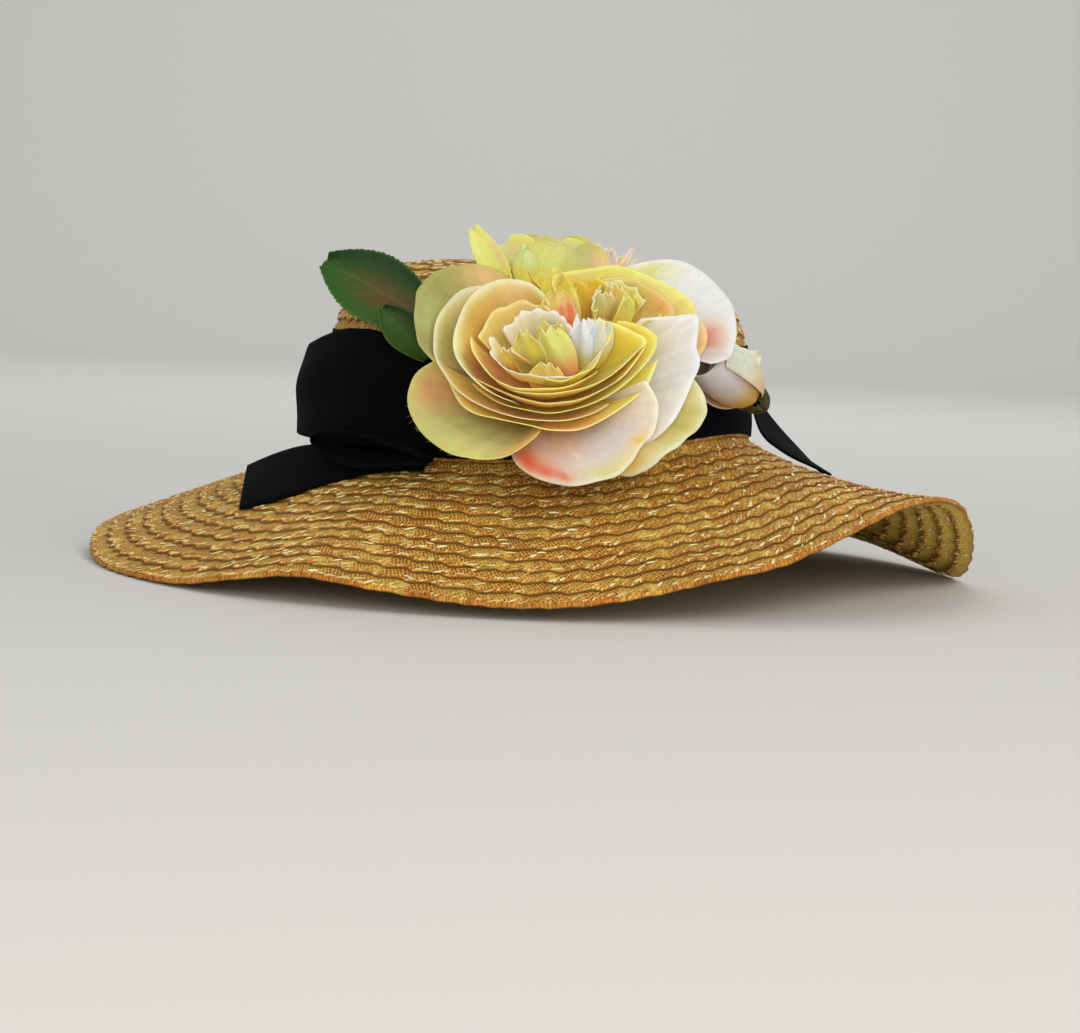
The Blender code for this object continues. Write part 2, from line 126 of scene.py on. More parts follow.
def brimHalves(share):
    return [mix(foot, rim, share) for foot, rim in zip(hatForm["crownHalf"], hatForm["brimHalf"])]


# a point on top of the brim, at a share of the way out
def brimPoint(angle, share):
    x, y = around(angle, *brimHalves(share))
    root = waveHeight("root", angle)
    rim = waveHeight("rim", angle) + hatForm["wall"]
    sag = hatForm["sagShare"] * (root - hatForm["lowestRoot"]) * 4.0 * share * (1.0 - share)
    lift = 0.5 * math.sin(math.pi * min(share, 1.0)) + 1.6 * max(0.0, 1.0 - share / 0.02)
    return Vector((x, y, mix(root, rim, share) - sag + lift))


def brimHeight(x, y):
    share = 0.5
    for _ in range(16):
        halfWidth, halfDepth = brimHalves(share)
        share = min(max(share + (math.hypot(x / halfWidth, y / halfDepth) - 1.0) * 0.9, 0.0), 1.0)
    return brimPoint(math.degrees(math.atan2(x / halfWidth, -y / halfDepth)), share).z


def crownShare(height):
    rows = hatForm["crown"]
    for (upperShare, upper), (lowerShare, lower) in zip(rows, rows[1:]):
        if lower <= height <= upper:
            return mix(lowerShare, upperShare, (height - lower) / (upper - lower))
    lastShare, last = rows[-1]
    return mix(lastShare, 1.0, min((last - height) / (last - hatForm["footLevel"]), 1.0))


# a point beside the crown's wall
def crownSide(angle, height, clearance):
    share = crownShare(height)
    halfWidth, halfDepth = hatForm["crownHalf"]
    x, y = around(angle, halfWidth * share, halfDepth * share)
    outward = Vector((x / halfWidth**2, y / halfDepth**2, 0.0)).normalized()
    return Vector((x, y, height)) + outward * clearance


# Making and finishing
def toLinear(hexValue):
    parts = [int(hexValue[i:i + 2], 16) / 255.0 for i in (1, 3, 5)]
    return Vector((*(c / 12.92 if c <= 0.04045 else ((c + 0.055) / 1.055) ** 2.4 for c in parts), 1.0))


# gives an input a value, a hex colour or another node's output
def setInput(tree, node, key, value):
    if isinstance(value, bpy.types.NodeSocket):
        tree.links.new(value, node.inputs[key])
    else:
        node.inputs[key].default_value = toLinear(value) if isinstance(value, str) else value


def addNode(tree, kind, values, output=0):
    node = tree.nodes.new("ShaderNode" + kind)
    for key, value in values.items():
        if isinstance(key, str) and key not in node.inputs:
            setattr(node, key, value)
        else:
            setInput(tree, node, key, value)
    return node.outputs[output]


def addMath(tree, operation, first, second):
    return addNode(tree, "Math", {"operation": operation, 0: first, 1: second})


def addMix(tree, factor, below, above):
    return addNode(tree, "Mix", {"data_type": "RGBA", 0: factor, 6: below, 7: above}, 2)


def addNoise(tree, place, scale, detail=2.0, roughness=0.5):
    return addNode(tree, "TexNoise", {"Scale": scale, "Detail": detail, "Roughness": roughness,
                                      "Vector": place}, "Fac")


def addRange(tree, value, low, high, fromLow=0.3, fromHigh=0.7):
    return addNode(tree, "MapRange", {"From Min": fromLow, "From Max": fromHigh, "To Min": low,
                                      "To Max": high, "Value": value})


def addShade(tree, colour, first, second):
    return addNode(tree, "VectorMath", {"operation": "SCALE", "Vector": colour,
                                        "Scale": addMath(tree, "MULTIPLY", first, second)})


# the braid's tone channels: copper cord, gold with painted highlight, and painted groove shadow
def addToneAndLightChannels(tree):
    tone = addNode(tree, "Attribute", {"attribute_name": "braidToneAndLight"})
    return addNode(tree, "SeparateColor", {"Color": tone}).node.outputs


def newMaterial(name, settings):
    made = bpy.data.materials.new(name)
    made.use_nodes = True
    for key, value in settings.items():
        setInput(made.node_tree, made.node_tree.nodes["Principled BSDF"], key, value)
    return made


def finishMaterial(made, colour, height=None, strength=0.0, distance=0.0):
    tree = made.node_tree
    shader = tree.nodes["Principled BSDF"]
    setInput(tree, shader, "Base Color", colour)
    if height:
        bump = addNode(tree, "Bump", {"Strength": strength, "Distance": distance, "Height": height})
        setInput(tree, shader, "Normal", bump)
    return made


# a finished mesh becomes a piece that rides on the hat
def addPiece(name, mesh, material, replaces=()):
    mesh.shade_smooth()
    mesh.materials.append(material)
    made = bpy.data.objects.new(name, mesh)
    bpy.context.scene.collection.objects.link(made)
    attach(made, "root")
    if replaces:
        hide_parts(*replaces)
    return made


# metres, faces outwards
def finishPiece(shape, name, material, node=None):
    bmesh.ops.recalc_face_normals(shape, faces=shape.faces)
    bmesh.ops.scale(shape, vec=(mm, mm, mm), verts=shape.verts)
    mesh = bpy.data.meshes.new(name)
    shape.to_mesh(mesh)
    shape.free()
    return addPiece(name, mesh, material, (node,) if node else ())


# a sheet laid out by pointAt(across -1..1, along 0..1)
def clothGrid(across, along, pointAt, colourAt=None, uvAt=None, closed=False):
    shape = bmesh.new()
    bmesh.ops.create_grid(shape, x_segments=across, y_segments=along, size=1.0)
    uv = shape.loops.layers.uv.new("cloth")
    dyeAndLight = shape.verts.layers.float_color.new("dyeAndLight")
    places = {v: (v.co.x, (v.co.y + 1.0) / 2.0) for v in shape.verts}
    for vertex, (a, b) in places.items():
        vertex.co = pointAt(a, b)
        vertex[dyeAndLight] = colourAt(a, b) if colourAt else (1.0, 1.0, 1.0, 1.0)
    for face in shape.faces:
        for loop in face.loops:
            a, b = places[loop.vert]
            loop[uv].uv = uvAt(a, b) if uvAt else (a * 20.0, b * 40.0)
    if closed:
        bmesh.ops.remove_doubles(shape, verts=shape.verts, dist=0.01)
    return shape


# Sheets of cloth, with sizes given for their flat cuts
cutLook = {
    "leastSide": 10.1, "leastPetal": 11.0,      # mm
    "petalFilled": 0.78, "filled": 0.75,        # share of the cut that the cloth takes up
}


# a sheet with its thickness; the width given for its flat cut is not used
def finishSheet(shape, name, material, node, width, held, restsOn, thick, filled=cutLook["filled"]):
    made = finishPiece(shape, name, material, node)
    solid = made.modifiers.new("thickness", "SOLIDIFY")
    solid.thickness = thick * mm
    solid.offset = 0.0
    solid.use_even_offset = False


# Sewn straw braid: split straws plaited into an open, dry and finely hatched band, with dark gaps
# between the straws
strawLook = {
    # the groove colour is painted shadow, where each row's raised outer edge drops to the next row
    "body": "#dea744", "dry": "#ab7120", "gap": "#583009", "cord": "#b5671a", "grooveShadow": "#3c1d07",
    # the gold colour: partly the straw's golden tone, partly painted highlight, and on the underside painted
    # light
    "gold": "#ecca5c",
    "threads": ((0.42, 1.35, 4.6), (-0.75, 2.1, 6.0)),  # turn, mm between straws (coarser than real), waver
    "patchSize": 26.0,      # mm of the broad patches of lighter and darker straw
    "patchShade": (0.84, 1.14),
    "fineShade": (0.5, 1.55),
    "roughness": 0.6,
    "bump": 0.9,
}
waveScale = 0.314       # a wave texture of this scale has one band a unit


def makeStrawMaterial():
    look = strawLook
    made = newMaterial("plaitedSplitStraw", {"Roughness": look["roughness"], "Specular IOR Level": 0.25})
    tree = made.node_tree
    uv = addNode(tree, "TexCoord", {}, "UV")
    place = addNode(tree, "TexCoord", {}, "Object")
    cord, gold, grooveShadow = addToneAndLightChannels(tree)
    # two sets of slanted straws that cross, in the braid's own millimetres
    sets = []
    for turn, pitch, waver in look["threads"]:
        slant = addNode(tree, "Mapping", {"Rotation": (0.0, 0.0, turn), "Vector": uv})
        sets.append(addNode(tree, "TexWave", {
            "wave_type": "BANDS", "bands_direction": "X", "Scale": waveScale / pitch, "Distortion": waver,
            "Detail": 2.0, "Detail Scale": 1.6, "Vector": slant}, "Fac"))
    lattice = addMath(tree, "MAXIMUM", *sets)
    along = addNode(tree, "Mapping", {"Rotation": (0.0, 0.0, 0.6), "Scale": (0.4, 1.25, 1.0), "Vector": uv})
    fine = addNoise(tree, along, 1.0, 4.0, 0.8)
    patch = addNoise(tree, place, 1.0 / (look["patchSize"] * mm))
    body = addMix(tree, sets[0], look["dry"], look["body"])
    body = addMix(tree, addRange(tree, lattice, 0.85, 0.0, 0.25, 0.62), body, look["gap"])
    # copper cord, gold that is partly painted highlight, and painted groove shadow, from the tone attribute
    for share, colour in ((gold, "gold"), (cord, "cord"), (grooveShadow, "grooveShadow")):
        body = addMix(tree, share, body, look[colour])
    tint = addShade(tree, body, addRange(tree, patch, *look["patchShade"]),
                    addRange(tree, fine, *look["fineShade"], 0.32, 0.68))
    return finishMaterial(made, tint, addMath(tree, "ADD", lattice, fine), look["bump"], 0.0006)


# Sewn rows of braid. One row in section: share of the row from its inner edge, height over the form
rowSection = ((0.0, -0.45), (0.1, -0.15), (0.38, 0.15), (0.64, 0.3), (0.86, 0.45), (0.96, 0.3))
underSection = ((0.95, -0.35), (0.6, 0.1), (0.25, 0.3))
braidLook = {
    "brimRows": 13,
    "crownRows": 20,
    "turnLength": 12.5,     # mm along the row from one turn of the plait to the next
    "slant": 0.3,           # how far a turn climbs across its row, as a share of the row
    "rimSlant": 0.45,       # share of that in the last row of the brim
    "jump": 0.32,           # share of the turn in which it drops back to the next
    "reach": (0.7, 1.15),   # how the turns differ
    "brimSteps": 720,
    "crownSteps": 440,
}


class Braid:
    # the turns of the plait, the same wherever a row is asked about
    def __init__(self, rows, middle, radiusAt, surfaceAt, seed):
        chance = random.Random(seed)
        self.rows, self.radiusAt, self.surfaceAt = rows, radiusAt, surfaceAt
        self.girths = [self.girth(row, middle) for row in range(rows)]
        self.turns = [max(6, round(girth / braidLook["turnLength"])) for girth in self.girths]
        self.starts = [chance.random() for _ in range(rows)]
        self.tones = [[chance.random() for _ in range(count)] for count in self.turns]
        self.reaches = [[chance.uniform(*braidLook["reach"]) for _ in range(count)] for count in self.turns]

    def girth(self, row, at):
        return 2.0 * math.pi * self.radiusAt((row + at) / self.rows)

    def turnAt(self, row, angle):
        turn = math.radians(angle)
        wander = 0.3 * math.sin(7.0 * turn + 2.1 * row) + 0.2 * math.sin(13.0 * turn + 4.3 * row)
        place = (angle / 360.0) % 1.0 * self.turns[row] + self.starts[row] + wander
        return int(math.floor(place)) % self.turns[row], place - math.floor(place)

    # how far the row's outer edge is shifted here, as a share of the row
    def edgeShift(self, row, angle):
        index, t = self.turnAt(row, angle)
        climb = 1.0 - braidLook["jump"]
        swing = 0.5 - t / climb if t < climb else -0.5 + (t - climb) / braidLook["jump"]
        return braidLook["slant"] * self.reaches[row][index] * swing

    # (shift of the row position, relief, tone) for a place in the section; the tone holds painted highlight
    # and painted groove shadow
    def shape(self, row, share, height, angle, outerEdge):
        index, t = self.turnAt(row, angle)
        bright = self.tones[row][index]
        outer = smoothStep(0.25, 0.86, share) * self.edgeShift(row, angle) * outerEdge
        inner = (1.0 - smoothStep(0.0, 0.5, share)) * (self.edgeShift(row - 1, angle) if row else 0.0)
        swell = 0.55 + 0.45 * math.sin(math.pi * min(t + 0.12, 1.0))
        # gold: a golden tone that differs at random from turn to turn, with painted highlight where each turn
        # folds over at its end
        gold = smoothStep(0.62, 0.9, t) * 0.6 * bright + 0.35 * bright**2
        cord = smoothStep(0.6, 0.86, share) * (0.8 - 0.4 * bright)
        # painted shadow in the groove along the row's inner edge, under the raised outer edge of the row
        # before
        grooveShadow = 0.6 if share == 0.0 else (0.2 if share < 0.2 else 0.0)
        return outer + inner, height * (swell if height > 0 else 1.0), (cord, gold, grooveShadow, 1.0)


# places round the section of a braided wall: row, share of the row, height, whether it is the underside
def wallLine(rows, under):
    line = [(row, share, height, False) for row in range(rows) for share, height in rowSection]
    line.append((rows - 1, 1.0, 0.0, False))
    line += [(row, share, height, True) for row in range(rows - 1, -1, -1) for share, height in under]
    return line + [(0, 0.0, 0.0, True)]


# carries the line round the hat, with the tone (painted highlight and groove shadow among it) and the
# millimetre UV of each point
def makeBraidedWall(name, node, steps, line, rows, pointAt, material):
    shape = bmesh.new()
    bmesh.ops.create_grid(shape, x_segments=steps, y_segments=rows, size=1.0)
    tone = shape.verts.layers.float_color.new("braidToneAndLight")
    uv = shape.loops.layers.uv.new("braid")
    flat = {}
    for vertex in shape.verts:
        i, j = round((vertex.co.x + 1.0) / 2.0 * steps), round((vertex.co.y + 1.0) / 2.0 * rows)
        vertex.co, vertex[tone], flat[vertex] = pointAt(i, 360.0 * (i % steps) / steps, *line[j % len(line)])
    for face in shape.faces:
        for loop in face.loops:
            loop[uv].uv = flat[loop.vert]
    bmesh.ops.remove_doubles(shape, verts=shape.verts, dist=0.002)
    print(name, len(shape.faces), "faces")
    finishPiece(shape, name, material, node)


def brimRadius(share):
    return mix(hatForm["footRadius"], hatForm["rimRadius"], share)


def brimSurface(angle, share, under):
    point = brimPoint(angle, share)
    if under:
        point.z -= hatForm["wall"] - 0.1
    return point


def makeBrimBraid(material):
    steps, rows, wall = braidLook["brimSteps"], braidLook["brimRows"], hatForm["wall"]
    braid = Braid(rows, 0.5, brimRadius, brimSurface, 11)
    line = wallLine(rows, underSection)

    def pointAt(i, angle, row, share, height, under):
        last = row == rows - 1
        shift, relief, tone = braid.shape(row, share, height, angle, braidLook["rimSlant"] if last else 1.0)
        drop = wall * 0.5 if share == 1.0 else -relief
        if under:
            shift *= 0.7
            edge = share > 0.9
            # underside: lightened with gold as painted light falling up under the brim, most at each row's
            # inner edge, with painted groove shadow at each row's outer edge
            tone = (0.1 * edge, 0.55 + 0.4 * (1.0 - share) + 0.2 * tone[1], 0.35 * edge, 1.0)
            drop = wall - 0.25 + relief * 0.8
        across = (row + share + shift) / rows
        if last and share > 0.8:
            across += 0.0045 * noiseAt(i * 0.9, 3.0, 0.0)
        point = brimPoint(angle, min(max(across, 0.0), 1.004))
        point.z = max(point.z - drop, 0.02)
        # the underside's UV starts 100 mm further on, so that it doesn't repeat the top
        flat = (i / steps * braid.girths[row] + 17.3 * row, across * 93.3 + (100.0 if under else 0.0))
        return point, tone, flat

    makeBraidedWall("straw_brim", "brim", steps, line, len(line), pointAt, material)
    return braid


# smooth outline of the crown at an angle, from the top down: points (radius, height), lengths so far
@lru_cache(maxsize=None)
def crownPath(angle):
    foot = hatForm["footRadius"]
    rows = [Vector((share * foot, height)) for share, height in hatForm["crown"]]
    rows.append(Vector((foot, brimPoint(angle, 0.0).z - 0.9)))  # ends inside the brim's inner edge
    fine = []
    for k in range(len(rows) - 1):
        corners = rows[max(k - 1, 0)], rows[k], rows[k + 1], rows[min(k + 2, len(rows) - 1)]
        fine += [curve(*corners, part / 6.0) for part in range(6)]
    fine.append(rows[-1])
    lengths = [0.0]
    for a, b in zip(fine, fine[1:]):
        lengths.append(lengths[-1] + (b - a).length)
    return fine, lengths


# (point, radius) at a share of the way down the crown's outline, so far under its surface
def onCrown(angle, share, inside=0.0):
    fine, lengths = crownPath(round(angle * 2.0) / 2.0)
    distance = min(max(share, 0.0), 1.0) * lengths[-1]
    index = 0
    while index < len(lengths) - 2 and lengths[index + 1] < distance:
        index += 1
    t = (distance - lengths[index]) / max(lengths[index + 1] - lengths[index], 1e-6)
    run = (fine[min(index + 2, len(fine) - 1)] - fine[max(index - 1, 0)]).normalized()
    spot = fine[index].lerp(fine[index + 1], t) - Vector((-run.y, run.x)) * inside
    x, y = around(angle, *(half * spot.x / hatForm["footRadius"] for half in hatForm["crownHalf"]))
    return Vector((x, y, spot.y)), spot.x


def crownRadius(share):
    return onCrown(0.0, share)[1]


def crownSurface(angle, share, under):
    return onCrown(angle, share)[0]


def makeCrownBraid(material):
    steps, rows, wall = braidLook["crownSteps"], braidLook["crownRows"], hatForm["wall"]
    braid = Braid(rows, 0.6, crownRadius, crownSurface, 23)
    line = wallLine(rows, underSection[::2])
    line[0] = (0, 0.0, -0.2, False)

    def pointAt(i, angle, row, share, height, under):
        last = row == rows - 1
        shift, relief, tone = braid.shape(row, share, height, angle, 0.0 if last else 1.0)
        depth = wall * 0.5 if share == 1.0 and last else -relief
        if row == 0:
            shift *= smoothStep(0.3, 0.9, share) * 0.5
        if under:
            shift = 0.0
            edge = share > 0.9
            # inside of the crown: lighter with gold towards each row's inner edge, with painted groove shadow
            # at each row's outer edge
            tone = (0.1 * edge, 0.2 + 0.4 * (1.0 - share), 0.5 * edge, 1.0)
            depth = wall - 0.2 + relief * 0.6
        across = 0.0 if row == 0 and share == 0.0 else (row + share + shift) / rows
        flat = (i / steps * braid.girths[row] + 11.7 * row, across * 160.0 + (200.0 if under else 0.0))
        return onCrown(angle, across, depth)[0], tone, flat

    makeBraidedWall("straw_crown", "crown", steps, line, len(line) - 1, pointAt, material)
    return braid


# Loose varnished straws over the plait: pale green slivers that fold over at each turn, and the short copper
# and gold strands, one beside the next, of the cord that edges each row; the strands' gold is partly painted
# glint
sliverLook = {
    "low": "#b98a2c", "middle": "#dcd37c", "high": "#f4f3c0", "roughness": 0.34,
    "length": 5.8, "width": 1.5, "thick": 0.5, "lift": 0.5, "tilt": 0.5, "bend": 0.6,
    "perTurn": 3, "keep": 0.75, "keepUnder": 0.35,
    "at": (0.35, 0.6, 0.7, 0.78, 0.82),         # where they lie, as shares of the row
    "last": 0.99, "lastUnder": 0.965,           # share of the way out where they stop
}
strandLook = {
    # the high colour on the cord strands: pale gold on a random few, partly their own colour, partly painted
    # glints
    "low": "#8a4a0e", "middle": "#d8983a", "high": "#f6dc84", "roughness": 0.38,
    "length": 2.9, "width": 0.8, "thick": 0.95, "lift": 0.35, "lean": 1.2,
    "brimPitch": 1.6, "underPitch": 2.8, "crownPitch": 2.0,     # mm from one strand to the next
    "at": 0.84, "underAt": 0.16,                # where the cord runs, as a share of the row
    "rowsUnderBand": 5,     # rows of the crown that the ribbon hides
}


def makeLooseStraw(name, look):
    made = newMaterial(name, {"Roughness": look["roughness"], "Specular IOR Level": 0.55})
    tree = made.node_tree
    red, green, _ = addToneAndLightChannels(tree)
    colour = addMix(tree, red, look["low"], look["middle"])
    return finishMaterial(made, addMix(tree, green, colour, look["high"]))


# copies one small closed shape to many places, as one mesh
def scatterCopies(name, template, places, tones, material, layer="braidToneAndLight"):
    template.verts.ensure_lookup_table()
    points = np.array([(*v.co, 1.0) for v in template.verts])
    loops = np.array([v.index for f in template.faces for v in f.verts])
    sizes = np.array([len(f.verts) for f in template.faces])
    template.free()
    count = len(places)
    moved = np.einsum("nij,pj->npi", np.array([[list(r) for r in m] for m in places]), points)[:, :, :3]
    mesh = bpy.data.meshes.new(name)
    mesh.vertices.add(count * len(points))
    mesh.vertices.foreach_set("co", (moved * mm).reshape(-1))
    mesh.loops.add(count * len(loops))
    index = (loops[None, :] + np.arange(count)[:, None] * len(points)).reshape(-1)
    mesh.loops.foreach_set("vertex_index", index.astype(np.int32))
    mesh.polygons.add(count * len(sizes))
    starts = np.concatenate([[0], np.cumsum(np.tile(sizes, count))[:-1]])
    mesh.polygons.foreach_set("loop_start", starts.astype(np.int32))
    tone = mesh.attributes.new(layer, "FLOAT_COLOR", "POINT")
    tone.data.foreach_set("color", np.repeat(np.array(tones), len(points), axis=0).reshape(-1))
    mesh.update(calc_edges=True)
    print(name, count, "copies")
    addPiece(name, mesh, material)


def placeCopy(centre, axes, size):
    return Matrix.Translation(centre) @ Matrix(axes).transposed().to_4x4() @ Matrix.Diagonal((*size, 1.0))


# a place on the straw, along the row apart from the lean, lifted off its surface
def layStraw(surfaceAt, angle, share, under, lean, lift, size):
    centre = surfaceAt(angle, share, under)
    along = (surfaceAt((angle + 0.8) % 360.0, share, under) - centre).normalized()
    across = (centre - surfaceAt(angle, max(share - 0.015, 0.0), under)).normalized()
    outward = along.cross(across).normalized()
    flat = abs(outward.z) > 0.2
    wanted = Vector((0.0, 0.0, -1.0 if under else 1.0)) if flat else Vector((centre.x, centre.y, 0.0))
    if outward.dot(wanted) <= 0.0:
        outward = -outward
    along = (along - across * lean).normalized()
    return placeCopy(centre + outward * lift, (along, outward.cross(along).normalized(), outward), size)


def makeSlivers(name, braid, material, seed, under=False):
    look = sliverLook
    chance = random.Random(seed)
    places, tones = [], []
    for row in range(braid.rows):
        count = braid.turns[row] * look["perTurn"]
        for index in range(count):
            if chance.random() > look["keepUnder" if under else "keep"]:
                continue
            angle = (360.0 * (index + chance.uniform(-0.4, 0.4)) / count) % 360.0
            at = chance.choice(look["at"]) + chance.uniform(-0.08, 0.08)
            share = (row + at + braid.edgeShift(row, angle) * 0.8) / braid.rows
            share = min(share, look["lastUnder" if under else "last"])
            size = (look["length"] * chance.uniform(0.45, 1.2), look["width"] * chance.uniform(0.3, 1.15),
                    look["thick"])
            lean = look["tilt"] * chance.uniform(-0.6, 1.8)
            places.append(layStraw(braid.surfaceAt, angle, share, under, lean, look["lift"], size))
            tones.append((chance.uniform(0.1, 1.0), chance.uniform(0.0, 0.9) ** 2, 0.0, 1.0))
    template = bmesh.new()
    bmesh.ops.create_uvsphere(template, u_segments=5, v_segments=4, radius=0.5)
    for vertex in template.verts:
        vertex.co.y += 0.35 * math.sin(vertex.co.x * 6.0) * look["bend"]
        vertex.co.z -= 1.6 * vertex.co.x**2 * look["bend"]
    scatterCopies(name, template, places, tones, material)


def makeCords(name, braid, pitch, material, seed, under=False, hiddenRows=0):
    look = strandLook
    chance = random.Random(seed)
    places, tones = [], []
    for row in range(braid.rows - hiddenRows):
        count = max(round(braid.girth(row, 0.9) / pitch), 8)
        for index in range(count):
            angle = (360.0 * (index + chance.uniform(-0.2, 0.2)) / count) % 360.0
            shift = braid.edgeShift(row, angle) * (braidLook["rimSlant"] if row == braid.rows - 1 else 1.0)
            at = look["underAt" if under else "at"]
            share = (row + at + shift + chance.uniform(-0.03, 0.03)) / braid.rows
            share = max(min(share, 0.995), 0.004)
            size = (look["length"] * chance.uniform(0.75, 1.2), look["width"] * chance.uniform(0.7, 1.15),
                    look["thick"] * chance.uniform(0.8, 1.1))
            lean = look["lean"] * chance.uniform(0.6, 1.4)
            places.append(layStraw(braid.surfaceAt, angle, share, under, lean, look["lift"], size))
            # green: share of the high colour, partly painted glint
            tones.append((chance.uniform(0.0, 1.0), chance.uniform(0.0, 1.0) ** 3, 0.0, 1.0))
    template = bmesh.new()
    bmesh.ops.create_uvsphere(template, u_segments=4, v_segments=3, radius=0.5)
    scatterCopies(name, template, places, tones, material)


# Ribbon of cotton velvet: short upright pile that swallows light face on and blooms at grazing angles
velvetLook = {
    "pile": "#030304", "raised": "#0a0a0d", "bloom": "#39404f", "roughness": 0.95, "sheen": 0.1,
    "grain": 0.9,           # mm
    "thick": 0.9,
}


def makeVelvetMaterial():
    look = velvetLook
    made = newMaterial("cottonVelvet", {
        "Roughness": look["roughness"], "Specular IOR Level": 0.06, "Sheen Weight": look["sheen"],
        "Sheen Roughness": 0.45, "Sheen Tint": look["bloom"]})
    tree = made.node_tree
    place = addNode(tree, "TexCoord", {}, "Object")
    pile = addNoise(tree, place, 1.0 / (look["grain"] * mm))
    shade = addMath(tree, "MULTIPLY", pile, addNoise(tree, place, 45.0))
    return finishMaterial(made, addMix(tree, shade, look["pile"], look["raised"]), pile, 0.3, 0.0003)


bandLook = {"heights": (100.5, 92.0, 75.0), "foot": 2.4, "lastStep": 6.0, "clearance": 1.15}


def bandAt(a, b):
    look = bandLook
    angle = (a + 1.0) * 180.0
    foot = waveHeight("root", round(angle % 360.0, 3)) + look["foot"]
    levels = (*look["heights"], foot + look["lastStep"], foot)
    place = b * 4.0
    index = min(int(place), 3)
    height = mix(levels[index], levels[index + 1], place - index)
    crease = 0.35 * math.sin(b * 9.0 + 2.0 * math.sin(math.radians(angle) * 2.0)) * math.sin(math.pi * b)
    return crownSide(angle, height, look["clearance"] + crease)


# the big loop of the bow: two panels that meet at the knot and fold over at the far end
loopLook = {
    "middle": -63.0, "half": 37.0,      # degrees round the crown
    "clearances": (2.9, 13.0), "foot": 55.5,
    "top": ((90.0,), (96.0,), (101.0,), (101.5,), (98.5,), (95.0,), (92.0,), (83.0,)),  # knot to fold
    "lean": 9.0,                        # degrees that the fold leans in at its top
}


def loopAt(a, b):
    look = loopLook
    inner, outer = look["clearances"]
    turn = math.pi * (a + 1.0)
    side, fold = math.sin(turn), (1.0 - math.cos(turn)) / 2.0
    height = mix(look["foot"], between(look["top"], fold)[0], b)
    gather = smoothStep(0.0, 0.5, 1.0 - fold)   # towards the knot
    ripple = 0.9 * math.sin(b * 10.0 + 3.0 * fold) * gather + 0.5 * math.sin(fold * 7.0 + b * 2.0)
    half = (outer - inner) / 2.0 - 0.6 + 1.6 * math.sin(math.pi * b)
    clear = (inner + outer) / 2.0 + half * side + (ripple - 2.0 * b**3) * max(side, 0.0)
    angle = look["middle"] + look["half"] * math.cos(turn) + look["lean"] * b**2 * fold
    return crownSide(angle, height, max(clear, inner - 0.5))


# the small roll under it, open towards the front
rollLook = {"middle": -38.0, "half": 16.0, "clearances": (13.8, 21.0), "heights": (46.8, 60.5)}


def rollAt(a, b):
    look = rollLook
    low, high = look["heights"]
    turn = math.pi * (a + 1.0)
    across = math.cos(turn)
    thin = (1.0 - 0.45 * smoothStep(-0.2, 1.0, across)) * (0.8 + 0.2 * b)
    height = (low + high) / 2.0 - 1.5 * across + (high - low) / 2.0 * math.sin(turn) * thin
    clear = mix(*look["clearances"], b) + 0.6 * math.sin(turn * 2.0 + b * 3.0) * b
    return crownSide(look["middle"] + look["half"] * across, height + 0.6 * math.sin(b * 5.0 + turn), clear)


leftTail = (  # back edge x, y, lift over the brim; front edge x, y, lift
    (-42.0, -95.5, 3.6, -44.0, -102.0, 2.4), (-61.0, -83.8, 5.5, -65.0, -93.0, 2.4),
    (-81.0, -61.0, 7.5, -84.0, -87.0, 1.8), (-98.0, -42.0, 8.5, -101.0, -86.0, 1.5),
    (-111.0, -32.0, 8.0, -111.0, -83.0, 1.5), (-122.5, -26.0, 6.5, -119.0, -80.0, 1.5),
)


def leftTailAt(a, b):
    backX, backY, backLift, frontX, frontY, frontLift = between(leftTail, b)
    t = (a + 1.0) / 2.0
    x, y = mix(backX, frontX, t), mix(backY, frontY, t)
    lift = mix(backLift, frontLift, t) + 0.8 * math.sin(math.pi * t) * math.sin(b * 7.0) * (1.0 - b)
    return Vector((x, y, brimHeight(x, y) + lift))


rightTail = (  # x, height of the back edge, height of the front edge
    (93.9, 86.0, 70.0), (96.0, 80.5, 64.5), (99.0, 75.0, 60.5), (103.0, 69.5, 57.5),
    (110.0, 62.0, 53.5), (119.0, 53.5, 50.0), (128.0, 45.0, 46.5),
)
rightTailEdges = (28.0, -16.0)      # y of the back edge and the front edge


def rightTailAt(a, b):
    x, backHeight, frontHeight = between(rightTail, b)
    t = (a + 1.0) / 2.0
    sway = 0.7 * math.sin(t * 6.0 + b * 4.0)
    height = mix(backHeight, frontHeight, t) + sway * 0.4 * b
    return Vector((x + sway * 0.5, mix(*rightTailEdges, t), height))


ribbons = (  # piece, node, points, steps, mm of the cut's width, held, rests on, share filled, closed
    ("velvet_band", "hat_band", bandAt, (180, 16), 44.0, "stretched", "straw_crown", 1.0, True),
    ("velvet_loop", "bow_loop", loopAt, (96, 24), 42.0, "folded", "velvet_band", 1.0, True),
    ("velvet_roll", "bow_roll", rollAt, (72, 12), 20.0, "folded", "velvet_band", 1.0, True),
    ("velvet_tail_left", "bow_tail_left", leftTailAt, (14, 36), 46.0, "laid", "straw_brim", 0.8, False),
    ("velvet_tail_right", "bow_tail_right", rightTailAt, (14, 30), 44.0, "draped", "straw_brim", 1.0, False),
)


def makeRibbons(material):
    for name, node, pointAt, steps, width, held, restsOn, filled, closed in ribbons:
        finishSheet(clothGrid(*steps, pointAt, closed=closed), name, material, node, width, held,
                    restsOn, velvetLook["thick"], filled)


